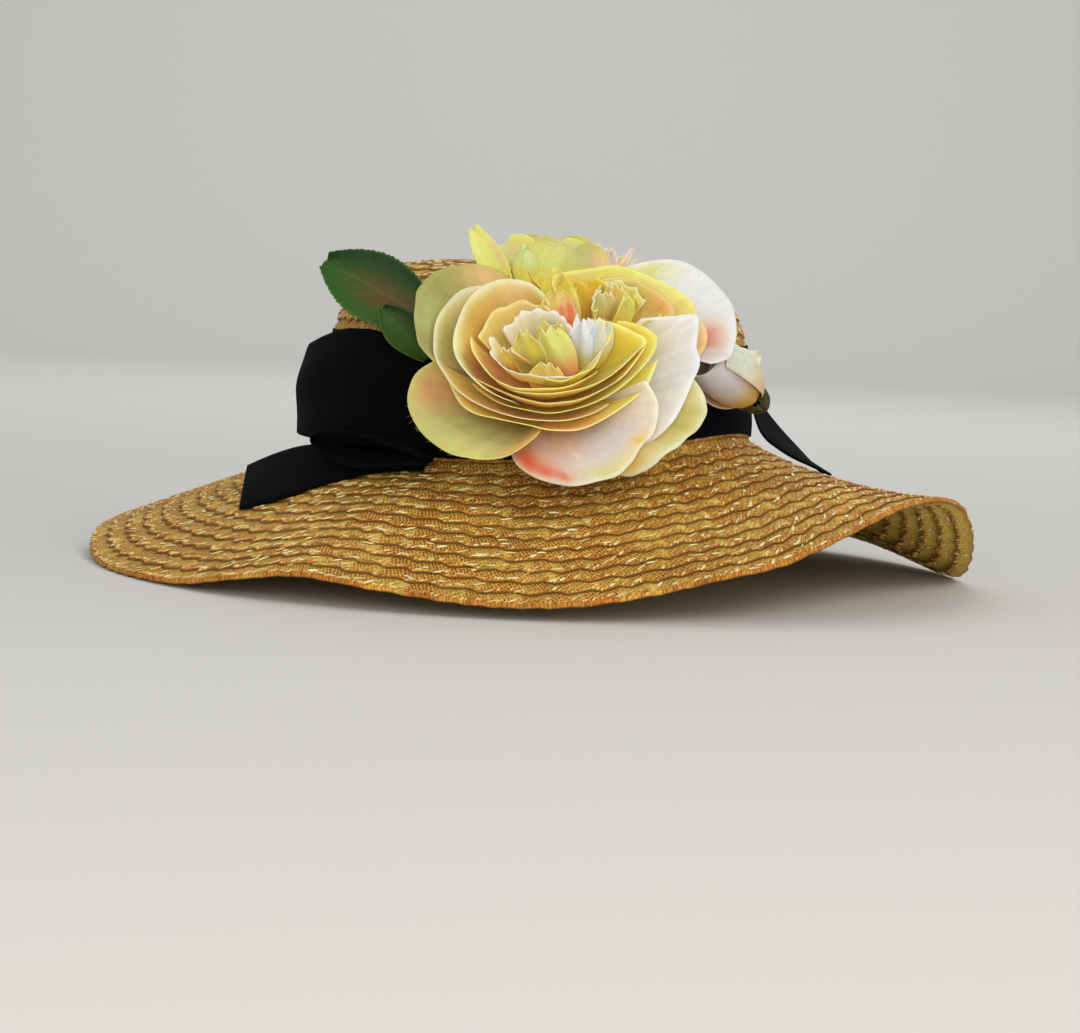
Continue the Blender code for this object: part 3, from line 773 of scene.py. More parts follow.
# Dyed silk and leaf cloth: plain weave, pressed into shape, with the colour brushed on by hand and carried on
# the piece as an attribute; on the petals that attribute also holds painted glow, shade and highlight
clothLook = {
    "threadPitch": 0.7,
    "dyedPetalSilkAndLight": (0.72, 0.25, 0.08, 0.75),      # roughness, relief of the weave, sheen, glow
    "pressedLeafCloth": (0.6, 0.2, 0.0, 0.1),
    "pressedCalyxCloth": (0.8, 0.4, 0.0, 0.0),
}


def makeClothFromDyeAndLight(name):
    roughness, relief, sheen, glow = clothLook[name]
    made = newMaterial(name, {
        "Roughness": roughness, "Specular IOR Level": 0.25, "Sheen Weight": sheen, "Subsurface Weight": glow,
        "Subsurface Scale": 0.003, "Subsurface Radius": (1.0, 0.7, 0.35)})
    tree = made.node_tree
    # the colour attribute: dye, and on the petals also painted glow, shade and highlight
    dyeAndLight = addNode(tree, "Attribute", {"attribute_name": "dyeAndLight"})
    uv = addNode(tree, "TexCoord", {}, "UV")
    weave = addMath(tree, "ADD", *(
        addNode(tree, "TexWave", {"bands_direction": way, "Scale": waveScale / clothLook["threadPitch"],
                                  "Distortion": 0.6, "Vector": uv}, "Fac") for way in "XY"))
    blotch = addRange(tree, addNoise(tree, uv, 0.22, 3.0), 0.94, 1.05)
    tint = addShade(tree, dyeAndLight, blotch, addRange(tree, weave, 0.95, 1.03, 0.0, 2.0))
    return finishMaterial(made, tint, weave, relief, 0.0002)


# Silk roses
silk = {
    "white": "#f6f4ea", "ivory": "#f2edc0", "cream": "#eedb96", "tan": "#ebc96f", "pale": "#f3f094",
    "lime": "#e2e27a", "yellow": "#efd955", "gold": "#f2c440", "amber": "#f0ae3a", "orange": "#fbb04a",
    "peach": "#f6bd90", "coral": "#f79a6c", "deepCoral": "#f04e2a", "pink": "#f6d6c8", "olive": "#c3bc68",
    # the fern colour is sage darkened as painted shade, for a petal that lies in shade
    "sage": "#b4b776", "moss": "#948c40", "rust": "#e58a44", "fern": "#93955a", "wheat": "#cfa954",
    # the sun and flame colours: yellow and orange lightened past the dye, as painted glow of light through
    # the thin silk
    "sun": "#ffd352", "flame": "#ffb54c",
}
petalLook = {
    "thick": 0.3, "rootRadius": 2.2, "layerStep": 1.35, "firstDepth": 7.0, "sideStretch": 1.12,
    "steps": (64, 26), "crease": 0.55, "waver": 1.0,
    "curlFrom": 0.86,       # share of the petal from which its lip turns down
    # mm that the front of a petal sits lower, close against the one inside it
    "sinks": {"rose_front_petal_07": 3.0, "rose_front_petal_08": 4.0, "rose_front_petal_10": 4.0,
              "rose_front_petal_11": 7.0},
    "sinkIn": 0.75,         # share of that by which it also comes in
}
# rim from one end to the other, as (direction with 0 right and 90 up, reach, height over the rose);
# bowl, ruffle mm, waves, lip mm; colours of root, middle and edge, with painted glow in some, painted shade
# in one and the edge partly painted highlight;
# brushed colours, a few of them painted highlights, as (colour, where across -1 to 1, where along 0 to 1, how
# wide)
frontPetals = (
    (((166, 16.5, 9), (148, 14.5, 10.5), (130, 15.2, 11), (105, 13.4, 11.5), (77, 12.2, 11), (58, 10.5, 10.5),
      (28, 8.5, 9.5)), 2.8, 1.0, 7, 0.8, "tan ivory white", (("peach", -0.5, 0.5, 0.35),)),
    (((180, 18.8, 10), (198, 20.3, 10), (216, 21, 10), (231, 20.5, 9.5), (246, 18.8, 9), (270, 18.2, 9),
      (297, 18.9, 9)), 2.8, 1.1, 6, 0.8, "rust cream white", (("coral", -0.1, 0.45, 0.3),)),
    (((268, 19, 8), (293, 20, 9), (312, 20.3, 9.5), (340, 19, 10), (365, 21, 10), (384, 22, 9)),
     2.6, 0.5, 3, 0.5, "amber yellow pale", (("ivory", 0.3, 0.95, 0.25),)),
    (((178, 23.6, 7), (150, 23.5, 8), (129, 22.6, 8.5), (109, 19.5, 9), (92, 16, 8.5), (74, 13, 8)),
     2.6, 0.7, 4, 0.4, "gold tan cream", (("peach", 0.3, 0.8, 0.3),)),
    # petals 5 to 8, 10 and 11 take the sun and flame colours: painted glow on their inner cup walls
    (((176, 26.5, 7), (200, 26, 7.5), (224, 26.4, 8), (241, 26, 8), (256, 24.9, 8), (273, 23.1, 8),
      (293, 21.9, 7), (314, 20.5, 5), (334, 19, 2)), 2.6, 0.4, 3, 0.4, "flame sun pale",
     (("coral", -0.8, 0.6, 0.5), ("orange", -0.1, 0.7, 0.35))),
    (((222, 23, 1), (240, 24.5, 4), (256, 25, 6), (280, 24.6, 7), (307, 25.9, 8), (330, 27.5, 9),
      (350, 30.5, 10), (360, 33, 10.5), (368, 28.5, 11), (384, 22, 11), (396, 18, 10)),
     2.4, 0.3, 3, 0.5, "flame sun pale", (("yellow", 0.35, 0.8, 0.5),)),
    (((186, 31.6, 5), (205, 31.1, 6), (230, 29.2, 6.5), (256, 28.4, 6.5), (276, 28.5, 6.5), (293, 29.3, 7),
      (318, 29, 7.5), (345, 31.1, 8), (363, 33.6, 8)), 2.6, 0.3, 3, 0.6, "flame flame pale",
     (("yellow", 0.5, 0.8, 0.35), ("coral", -0.4, 0.8, 0.2))),
    (((208, 28.5, -2), (232, 29, 0.5), (255, 29.9, 3), (276, 31, 4), (296, 30.7, 5), (320, 31.2, 6),
      (342, 33.5, 7.5), (358, 36.4, 9), (368, 35.7, 10), (377, 31.4, 10.5), (385, 25.7, 10)),
     2.6, 0.3, 3, 1.2, "flame sun lime", (("pale", 0.1, 0.97, 0.4), ("orange", 0.85, 0.9, 0.2))),
    (((246, 27.5, 2), (222, 30.2, 6), (200, 32, 8.5), (182, 32.3, 10), (160, 31.8, 11.5), (142, 32.4, 12),
      (129, 32.6, 12.5), (118, 31.3, 12.5), (108, 27.9, 12.5), (100, 23.2, 12), (90, 16.5, 10)),
     2.4, 0.4, 2, 1.0, "amber wheat ivory",
     # the pale brushed on the left of this rim is painted highlight where the lip rolls over
     (("peach", 0.45, 0.95, 0.3), ("coral", -0.55, 0.66, 0.3), ("pale", -0.5, 0.98, 0.16))),
    (((126, 39, 3), (138, 41.4, 4), (150, 41.1, 4), (163, 40.8, 4), (176, 39.7, 3), (189, 38.5, 2),
      (204, 36.3, 1), (222, 35, 0), (245, 33, 0), (271, 32, 0), (295, 31, -1), (318, 29, -4)),
     2.4, 0.4, 2, 0.8, "flame tan ivory",
     (("peach", -0.85, 0.85, 0.3), ("orange", 0.45, 0.85, 0.35), ("olive", -0.3, 0.8, 0.4))),
    (((202, 35.8, -2), (216, 37.4, -1), (229, 38.2, 0), (245, 36.6, 1), (263, 36, 1), (276, 36.8, 1),
      (288, 38.1, 1.5), (304, 37.6, 3), (320, 37, 4), (338, 37.2, 5), (353, 37.4, 5)),
     2.4, 0.4, 3, 1.0, "flame sun pale",
     (("peach", -0.85, 0.85, 0.3), ("coral", 0.22, 0.9, 0.28), ("lime", 0.85, 0.85, 0.4),
      ("orange", -0.45, 0.8, 0.25))),
    # the fern colours of this petal are painted shade
    (((112, 38, 4), (119, 44, 6), (128, 50.3, 7), (137, 53.5, 7), (148, 52.2, 7), (158, 49.7, 6),
      (169, 47.3, 5), (179, 44.4, 4), (190, 39.5, 2)), 1.8, 0.6, 2, 0.9, "moss fern fern",
     (("peach", -0.75, 0.85, 0.35), ("sage", 0.3, 0.8, 0.35))),
    (((32, 38, 2), (28, 48, 2), (24, 55.3, 2), (16, 52.8, 1), (7, 51, 0), (1, 52.7, 0), (-8, 50.9, -1),
      (-20, 49.8, -3), (-31, 49.5, -6), (-40, 47, -12), (-48, 42, -17)), 1.8, 1.0, 2, 1.2, "tan white white",
     (("pink", 0.7, 0.92, 0.3), ("peach", 0.5, 0.6, 0.3), ("cream", -0.3, 0.35, 0.5),
      ("cream", -0.9, 0.75, 0.3))),
    (((-3, 50.9, -6), (-12, 55, -7), (-18, 56.8, -8), (-26, 57.4, -9), (-34, 57, -10), (-43, 56.6, -11),
      (-50, 55.4, -14), (-56, 51, -18), (-61, 42, -22)), 1.7, 0.8, 2, 1.0, "tan cream ivory",
     (("orange", 0.6, 0.85, 0.2), ("olive", -0.3, 0.9, 0.35))),
    (((181, 36, -3), (187, 44.3, -6), (194, 48.2, -8), (202, 50.7, -9), (211, 51.8, -10), (220, 52, -11),
      (229, 51.9, -12), (238, 51.1, -11.5), (245, 48.9, -10.5), (252, 45.3, -9.5), (259, 40, -8),
      (267, 33.7, -6)), 1.7, 0.5, 2, 0.7, "moss sage olive",
     (("coral", -0.72, 0.8, 0.4), ("orange", 0.85, 0.85, 0.32), ("lime", 0.25, 0.95, 0.3))),
    (((250, 33, -22), (257, 40, -19.5), (266, 45.5, -17), (275, 50.1, -14.5), (282, 53.9, -13),
      (289, 54.6, -12.5), (296, 55, -11.5), (303, 52, -9.5), (311, 49.1, -7.5), (318, 49.3, -5),
      (323, 47.5, -2), (328, 44.6, 1), (331, 42, 3), (336, 36.6, 5)), 1.5, 0.7, 3, 1.2, "peach pink ivory",
     # the white brushed here is partly the petal's white, partly painted highlight
     (("white", 0.2, 0.75, 0.45), ("coral", -0.72, 0.8, 0.3), ("deepCoral", -0.78, 0.86, 0.16),
      ("deepCoral", -0.6, 0.9, 0.13), ("deepCoral", -0.45, 0.93, 0.1), ("lime", -0.15, 0.96, 0.18),
      ("yellow", 0.05, 0.97, 0.16), ("amber", 0.3, 0.96, 0.13))),
)
rightPetals = (
    (((215, 13, 7), (193, 11, 8), (170, 7.5, 9), (120, 6.5, 9.5), (60, 7, 9), (10, 8, 9), (-30, 10, 8.5)),
     2.4, 1.3, 6, 0.6, "gold lime ivory", (("tan", 0.0, 0.6, 0.4),)),
    (((215, 14, 5), (235, 18, 6), (256, 17, 7), (279, 15.7, 7.5), (310, 15.6, 7.5), (335, 17, 6)),
     2.4, 0.8, 3, 0.8, "amber yellow lime", (("gold", 0.5, 0.7, 0.4),)),
    (((158, 13, 5), (120, 11, 7), (85, 10, 8.5), (50, 11, 9.5), (30, 12.5, 10), (12, 15, 10), (-8, 17.5, 10),
      (-24, 20, 9.5), (-34, 19.4, 8.5)), 2.4, 0.4, 2, 1.8, "gold tan peach",
     (("coral", 0.55, 0.95, 0.25), ("yellow", -0.7, 0.8, 0.4))),
    (((180, 18, 2), (168, 22, 4), (155, 24, 7), (140, 19, 9), (118, 14.5, 10.5), (85, 13, 11.5),
      (50, 13.5, 11.5), (25, 17, 11.5), (10, 20.5, 11.5), (-3, 24.5, 10.5), (-8, 28.5, 9), (-14, 31, 6)),
     2.2, 0.5, 3, 0.8, "amber cream lime",
     (("lime", 0.0, 0.9, 0.5), ("orange", -0.65, 0.7, 0.4), ("tan", 0.75, 0.8, 0.3))),
    (((20, 20, 0), (6, 27, 1), (-3, 31.8, 2), (-13, 33.4, 3), (-26, 35.4, 3), (-34, 37, 1), (-42, 35, -2)),
     2.0, 0.6, 2, 0.8, "tan cream peach", (("coral", 0.6, 0.8, 0.3),)),
    (((95, 20, 1), (72, 21, 3), (57, 26, 5), (47, 31, 6.5), (40, 36, 7.5), (33, 40.4, 8), (25, 42.6, 8),
      (14, 43.4, 8), (5, 44.9, 7), (-5, 45.4, 6), (-16, 45.6, 5), (-24, 46.4, 3), (-31, 46.8, 1),
      (-39, 41, -1)), 1.9, 0.6, 2, 1.2, "tan white white",
     (("lime", -0.55, 0.85, 0.35), ("orange", -0.97, 0.85, 0.25), ("pink", 0.85, 0.9, 0.4),
      ("deepCoral", 0.6, 0.78, 0.2))),
)


# brushed silk colour at a place on a petal, with the painted glow, shade and highlight that its colours
# carry, and partly painted highlight along the rim
def petalColour(colours, brushesAndHighlights, seed):
    root, middle, edge = (toLinear(silk[name]) for name in colours.split())
    brushedAndHighlights = [(toLinear(silk[name]), across, along, size) for name, across, along, size in brushesAndHighlights]

    def colourAt(a, b):
        wander = 0.12 * noiseAt(a * 2.0 + seed, b * 2.5, seed * 0.7)
        colour = root.lerp(middle, smoothStep(0.15, 0.72, b + wander))
        for dyeAndLight, across, along, size in brushedAndHighlights:
            away = math.hypot((a - across) * 0.8, b - along) / size + wander * 2.0
            streak = 0.85 + 0.3 * noiseAt(a * 9.0, b * 2.0, seed)
            colour = colour.lerp(dyeAndLight, min(max(math.exp(-away * away * 1.6) * 0.95 * streak, 0.0), 1.0))
        colour = colour * (1.0 + 0.09 * noiseAt(a * 13.0, b * 2.0, seed + 3.0))
        # pale along the rim: partly the silk's paler edge, partly painted highlight where the lip curls over
        thin = 0.5 + 0.5 * noiseAt(a * 4.0, 7.0, seed)
        rim = max(smoothStep(0.955 - 0.05 * thin, 1.0, b), 0.5 * smoothStep(0.95, 1.0, abs(a)))
        return colour.lerp(edge, rim * (0.45 + 0.5 * thin))

    return colourAt


def inFlower(place, x, y, height):
    centre, right, up, outward = place
    return centre + right * x + up * y + outward * height


# one nested petal; gives (point, way outwards, colour) along its rim, for the frayed threads
def makeNestedPetal(node, place, layer, row, material):
    rim, bowl, ruffle, waves, lip, colours, brushesAndHighlights = row
    look = petalLook
    depth = -look["firstDepth"] - look["layerStep"] * layer
    seed = rim[0][0] * 0.13 + layer
    sink = look["sinks"].get(node, 0.0)

    def pointAt(a, b):
        direction, reach, tip = between(rim, (a + 1.0) / 2.0)
        turn = math.radians(direction)
        reach *= 1.0 + 0.014 * noiseAt(a * 5.0, seed, 0.0)
        radius = look["rootRadius"] + (reach - look["rootRadius"]) * b
        height = depth + (tip - depth) * b**bowl
        height += ruffle * b**5 * math.sin(waves * math.pi * a + seed)
        radius += 0.6 * ruffle * b**5 * math.cos(waves * math.pi * a + seed * 1.7)
        fold = look["crease"] * noiseAt(math.cos(turn) * 3.4 + seed, math.sin(turn) * 3.4, b * 0.8)
        soft = look["waver"] * noiseAt(a * 2.2, b * 2.6, seed * 1.3)
        height += (fold + soft) * math.sin(math.pi * min(b, look["curlFrom"])) * min(reach / 30.0, 1.2)
        curl = max(b - look["curlFrom"], 0.0) / (1.0 - look["curlFrom"])
        radius += lip * 0.35 * curl**2
        height -= lip * 0.75 * curl**2
        lower = sink * smoothStep(0.1, 0.9, -math.sin(turn)) * b**bowl
        return inFlower(place, radius * look["sideStretch"] * math.cos(turn),
                        radius * math.sin(turn) + lower * look["sinkIn"], height - lower)

    colourAt = petalColour(colours, brushesAndHighlights, seed)
    reach = sum(r[1] for r in rim) / len(rim)
    width = math.radians(abs(rim[-1][0] - rim[0][0])) * reach * 0.85
    shape = clothGrid(*look["steps"], pointAt, colourAt, lambda a, b: (a * width / 2.0, b * reach * 1.2))
    finishSheet(shape, f"silk_{node}", material, node, max(width, cutLook["leastPetal"]),
                "folded", "straw_crown", look["thick"], cutLook["petalFilled"])
    return [(pointAt(a, 1.0), pointAt(a, 1.0) - pointAt(a, 0.93), colourAt(a, 0.97))
            for a in (k / 60.0 - 1.0 for k in range(121))]


def plainOutline(b):
    return 0.12 + 0.88 * math.sin(math.pi * (0.06 + 0.9 * b)) ** 0.8


def heartOutline(b):
    return 0.3 + 0.7 * math.sin(math.pi * min(0.08 + b * 0.74, 1.0)) - 2.24 * max(b - 0.75, 0.0) ** 2


def leafOutline(b):
    full = 0.10 + 0.90 * math.sin(math.pi * (0.05 + 0.92 * b) ** 1.15) ** 0.85
    return max(full, 0.02) * (1.0 + 0.05 * ((b * leafLook["teeth"]) % 1.0 - 0.5))


# a single blade of cloth from its root to its tip, in any frame of points
def makeBlade(name, node, root, tip, half, cup, bend, colourAt, material,
              faceTo=(0.0, -1.0, 0.35), outline=plainOutline, size=(24, 24), thick=0.32, twist=0.0,
              ruffle=0.0, ragged=0.0):
    root, tip = Vector(root), Vector(tip)
    way = tip - root
    side = way.cross(Vector(faceTo)).normalized()
    face = side.cross(way).normalized()

    def pointAt(a, b):
        turn = twist * (b - 0.3)
        sideHere = side * math.cos(turn) + face * math.sin(turn)
        rise = bend * 4.0 * b * (1.0 - b) + cup * a * a + ruffle * b**3 * math.sin(a * 6.0 + b * 3.0)
        reach = b * (1.0 + ragged * b**3 * noiseAt(a * 2.3, half * 1.7, way.length))
        return root + way * reach + sideHere * (half * outline(b) * a) + face * rise

    shape = clothGrid(*size, pointAt, colourAt, lambda a, b: (a * half, b * way.length))
    finishSheet(shape, name, material, node, max(half * 2.0, cutLook["leastSide"]), "folded",
                "straw_crown", thick)


# Folded scraps of silk that fill the middle of a rose: root and tip in the flower's own right, up and
# outward millimetres, half width, cup, bend, twist, colours of root, middle and edge, brushed colour
frontHeart = (
    ((-3.5, -5.5, -6.0), (-9.0, 2.5, 10.0), 6.6, 3.0, 2.0, 0.5, "moss olive lime", "yellow"),
    ((9.0, -6.5, -5.0), (-0.5, 3.2, 10.8), 6.8, -2.0, 2.5, -0.3, "coral lime pale", "lime"),
    ((2.0, 2.0, -6.0), (1.0, 7.5, 9.0), 7.0, -3.0, 1.0, 0.4, "rust tan pale", "coral"),
    ((15.0, -3.5, -5.0), (13.6, 8.4, 12.0), 5.6, -2.5, 2.5, 0.3, "olive white white", "white"),
    ((17.5, -2.0, -5.0), (21.6, 6.8, 12.0), 5.0, -2.2, 2.0, -0.2, "yellow ivory white", "white"),
    ((8.5, 4.0, -6.0), (6.2, 17.0, 11.0), 4.6, -1.2, 1.5, 0.3, "deepCoral coral peach", "deepCoral"),
    ((4.0, 7.0, -6.0), (4.0, 24.0, 10.5), 8.0, 2.0, 1.0, -0.2, "gold tan olive", "peach"),
    ((10.0, 12.0, -8.0), (1.5, 36.0, 7.0), 7.5, 2.0, 2.0, 0.2, "orange yellow lime", "yellow"),
    ((-9.0, -3.0, -6.0), (-15.5, -5.0, 9.0), 5.5, 2.0, 1.0, 0.6, "rust tan ivory", "coral"),
    ((-1.0, -12.0, -7.0), (0.0, -8.0, 3.5), 7.0, 1.5, 1.0, 0.0, "orange tan cream", "tan"),
)
rightHeart = (
    ((0.0, -4.0, -6.0), (-3.0, 2.8, 10.5), 4.6, 2.0, 1.5, 0.5, "gold tan ivory", "peach"),
    ((1.0, -5.0, -6.0), (1.5, -3.0, 10.0), 4.4, 2.0, 1.5, -0.5, "gold lime pale", "lime"),
    ((-2.0, -4.0, -6.0), (-7.5, -1.5, 9.0), 5.0, -2.0, 1.0, 0.3, "amber cream ivory", "tan"),
    ((3.0, -3.0, -6.0), (6.0, -1.0, 8.0), 5.5, -2.0, 1.0, 0.3, "amber yellow lime", "yellow"),
    ((-6.0, 0.0, -6.0), (-12.0, 8.0, 7.0), 8.0, 2.0, 1.0, 0.2, "orange gold yellow", "orange"),
)
heartLook = {"steps": (32, 24), "ruffle": 1.7, "ragged": 0.17}
# name, centre, way it looks, petals from the middle out, folds of its heart
roses = (
    ("rose_front", (3.5, -126.0, 95.8), (0.0, -0.74, 0.67), frontPetals, frontHeart),
    ("rose_right", (28.0, -104.0, 114.0), (0.30, -0.62, 0.72), rightPetals, rightHeart),
)


def flowerFrame(centre, looks):
    outward = Vector(looks).normalized()
    right = Vector((0.0, 0.0, 1.0)).cross(outward).normalized()
    return Vector(centre), right, outward.cross(right), outward


def makeRoses(material):
    rims = []
    for name, centre, looks, petals, folds in roses:
        place = flowerFrame(centre, looks)
        for layer, row in enumerate(petals):
            rims.append(makeNestedPetal(f"{name}_petal_{layer + 1:02d}", place, layer, row, material))
        for index, (root, tip, half, cup, bend, twist, colours, brush) in enumerate(folds):
            colourAt = petalColour(colours, ((brush, 0.2, 0.6, 0.35),), index * 3.1)
            makeBlade(f"silk_{name}_fold_{index + 1}", None if index else f"{name}_heart",
                      inFlower(place, *root), inFlower(place, *tip), half, cup, bend, colourAt, material,
                      faceTo=place[3] * 0.2 - place[2], outline=heartOutline, size=heartLook["steps"],
                      thick=petalLook["thick"], twist=twist, ruffle=heartLook["ruffle"],
                      ragged=heartLook["ragged"])
    return rims


# Back rose: root, tip, half width, cup, bend, ruffle, colours, brushed colours
backPetals = (
    ((-13.0, -93.0, 119.5), (-29.0, -77.0, 144.0), 5.6, 2.0, -1.5, 0.4, "yellow lime lime",
     (("peach", 0.75, 0.6, 0.35), ("pale", -0.6, 0.8, 0.3))),
    ((-5.0, -94.0, 118.5), (-8.0, -80.0, 138.5), 5.6, -2.6, 3.0, 0.3, "gold lime pale",
     (("pale", 0.2, 0.7, 0.4),)),
    ((8.0, -93.5, 118.5), (9.5, -75.0, 138.5), 17.5, 2.5, 2.0, 1.2, "gold olive sage",
     (("lime", -0.4, 0.7, 0.5), ("sage", 0.5, 0.9, 0.4), ("peach", 0.8, 0.6, 0.25))),
    ((22.0, -87.0, 122.0), (27.0, -74.0, 137.0), 5.0, 2.0, 1.0, 0.6, "peach pink pink",
     (("sage", -0.3, 0.8, 0.4),)),
    ((4.0, -45.0, 132.0), (4.0, -37.0, 142.5), 15.0, 2.5, 3.0, 0.8, "gold olive sage",
     (("lime", 0.5, 0.6, 0.4),)),
)
# petals at the back of the same rose, out of the photograph's sight: root, tip, half width
backFill = (
    ((-4.0, -76.0, 121.0), (-18.0, -60.0, 138.0), 12.0), ((18.0, -74.0, 121.0), (28.0, -58.0, 136.5), 11.0),
    ((5.0, -66.0, 125.0), (3.0, -50.0, 140.0), 14.0),
)
# narrow pink scraps beside it
backScraps = (
    ((19.0, -88.0, 121.0), (22.0, -74.0, 137.0), 1.8), ((22.0, -87.0, 121.5), (28.0, -72.0, 139.5), 1.6),
    ((27.0, -86.0, 122.0), (36.5, -70.0, 140.0), 1.7), ((29.0, -86.0, 121.5), (38.0, -72.0, 135.5), 1.5),
)


def makeBackRose(material):
    for index, (root, tip, half, cup, bend, ruffle, colours, brushesAndHighlights) in enumerate(backPetals):
        node = f"rose_back_petal_{index + 1:02d}"
        makeBlade(f"silk_{node}", node, root, tip, half, cup, bend,
                  petalColour(colours, brushesAndHighlights, index * 2.3), material, size=(30, 30), ragged=0.09,
                  outline=heartOutline if half > 10.0 else plainOutline, ruffle=ruffle)
    for index, (root, tip, half) in enumerate(backFill):
        colourAt = petalColour("gold lime ivory", (("peach", 0.4, 0.7, 0.3),), index * 2.9 + 1.0)
        makeBlade(f"silk_rose_back_fill_{index + 1}", None, root, tip, half, 2.2, 2.0, colourAt, material,
                  outline=heartOutline, ruffle=0.9)
    for index, (root, tip, half) in enumerate(backScraps):
        colourAt = petalColour("coral pink sage", (("coral", 0.0, 0.5, 0.3),), index * 1.9)
        makeBlade(f"silk_rose_back_scrap_{index + 1}", None, root, tip, half, 0.6, -1.0, colourAt, material,
                  size=(8, 24), twist=0.8)


# Single threads of silk that have come out of the cut edges
frayLook = {"length": 2.6, "thick": 0.13, "perPetal": 46, "spread": 26}


def makeFrayedThreads(rims, material):
    chance = random.Random(31)
    places, dyesAndLight = [], []
    for rim in rims:
        where = chance.uniform(10, 110)
        for _ in range(frayLook["perPetal"]):
            point, away, dyeAndLight = rim[int(min(max(chance.gauss(where, frayLook["spread"]), 0), 120))]
            push = Vector([chance.uniform(-1, 1) for _ in range(3)])
            way = (away.normalized() + push * 0.75).normalized()
            side = way.cross(Vector((0.3, 1.0, 0.2))).normalized()
            length = frayLook["length"] * chance.uniform(0.25, 1.0) ** 2
            size = (frayLook["thick"], frayLook["thick"], length)
            places.append(placeCopy(point + way * length * 0.4, (side, way.cross(side), way), size))
            dyesAndLight.append(tuple(dyeAndLight))
    template = bmesh.new()
    bmesh.ops.create_cone(template, cap_ends=True, segments=3, radius1=0.5, radius2=0.15, depth=1.0)
    scatterCopies("silk_frayed_threads", template, places, dyesAndLight, material, "dyeAndLight")


# Leaves: pressed cloth, toothed at the edge; name, root, tip, half width, cup, bend, brown flush
leafLook = {"green": "#295417", "deep": "#13330d", "flush": "#573d1d", "edge": "#467530", "teeth": 26}
leaves = (
    ("leaf_large", (-40.0, -92.0, 104.4), (-88.0, -74.0, 128.5), 14.79, 2.0, 1.0, True),
    ("leaf_small", (-44.5, -97.7, 91.0), (-63.0, -97.0, 111.0), 7.65, 1.5, 2.0, False),
)


def makeLeaves(material):
    green, deep, flush, edge = (toLinear(leafLook[key]) for key in ("green", "deep", "flush", "edge"))
    for name, root, tip, half, cup, bend, flushed in leaves:
        def colourAt(a, b, flushed=flushed):
            wander = noiseAt(a * 2.0, b * 3.0, 10) * 0.2
            colour = green.lerp(deep, smoothStep(-0.2, 0.9, a + wander))
            middle = math.exp(-((a + 0.1) / 0.45) ** 2) * smoothStep(1.0, 0.35, b) if flushed else 0.1
            colour = colour.lerp(flush, min(max(middle + wander, 0.0), 0.9))
            vein = abs(((b * 9.0 - abs(a) * 3.0) % 1.0) - 0.5) * 2.0
            colour = colour.lerp(deep, 0.5 * smoothStep(0.8, 1.0, vein))
            colour = colour.lerp(edge, 0.35 * math.exp(-((abs(a) - 0.02) / 0.03) ** 2))
            return colour.lerp(edge, 0.5 * smoothStep(0.93, 1.0, abs(a)))

        makeBlade(f"cloth_{name}", name, root, tip, half, cup, bend, colourAt, material,
                  outline=leafOutline, size=(24, 130), thick=0.4, ruffle=0.7)


# Bud beside the right rose: a cupped silk petal rolled round a paler one, in a ragged brown calyx
budLook = {
    "foot": (86.5, -65.5, 81.5), "tip": (65.0, -92.0, 96.5), "radius": 11.5,
    "lipFoot": (70.0, -84.0, 86.0), "lipTip": (89.0, -72.0, 99.0), "lipHalf": 9.0,
    "cutWidth": 42.0,
    "wraps": (  # start and end turn in degrees, share of the radius, colours
        (-60.0, 190.0, 1.12, "peach ivory white"),
        (130.0, 390.0, 0.9, "orange pink white"),
    ),
}
calyxLook = {
    "foot": (94.5, -56.0, 75.8), "tip": (85.55, -66.65, 82.2), "radius": 5.5, "thick": 0.4, "cutWidth": 30.0,
    "brown": "#3d2a12", "green": "#4f5228",
}


# (foot, way to the tip, spoke at a turn round it)
def axisFrame(look):
    foot = Vector(look["foot"])
    way = Vector(look["tip"]) - foot
    side = way.cross(Vector((0.0, 0.0, 1.0))).normalized()
    other = side.cross(way).normalized()
    return foot, way, lambda turn: side * math.cos(turn) + other * math.sin(turn)


def makeBud(material):
    foot, way, spokeAt = axisFrame(budLook)
    for index, (start, end, share, colours) in enumerate(budLook["wraps"]):
        def pointAt(a, b, start=start, end=end, size=budLook["radius"] * share):
            turn = math.radians(mix(start, end, (a + 1.0) / 2.0))
            skew = math.sin(math.pi * (0.05 + 0.75 * b) ** 0.8) ** 0.6
            radius = size * (0.18 + 0.82 * skew) + 1.2 * max(b - 0.8, 0.0) * math.sin(3.0 * turn)
            return foot + way * (0.02 + 0.96 * b * (1.0 - 0.12 * abs(a) ** 3)) + spokeAt(turn) * radius

        colourAt = petalColour(colours, (("white", 0.0, 0.9, 0.4),), index + 5.0)
        shape = clothGrid(36, 20, pointAt, colourAt, lambda a, b: (a * 20.0, b * 36.0))
        finishSheet(shape, f"silk_bud_wrap_{index + 1}", material, None if index else "rosebud",
                    budLook["cutWidth"], "folded", "straw_brim", petalLook["thick"])
    makeBlade("silk_bud_lip", None, budLook["lipFoot"], budLook["lipTip"], budLook["lipHalf"], -3.0, 3.0,
              petalColour("cream ivory lime", (("pink", 0.0, 0.5, 0.4),), 8.0), material, ruffle=1.2)


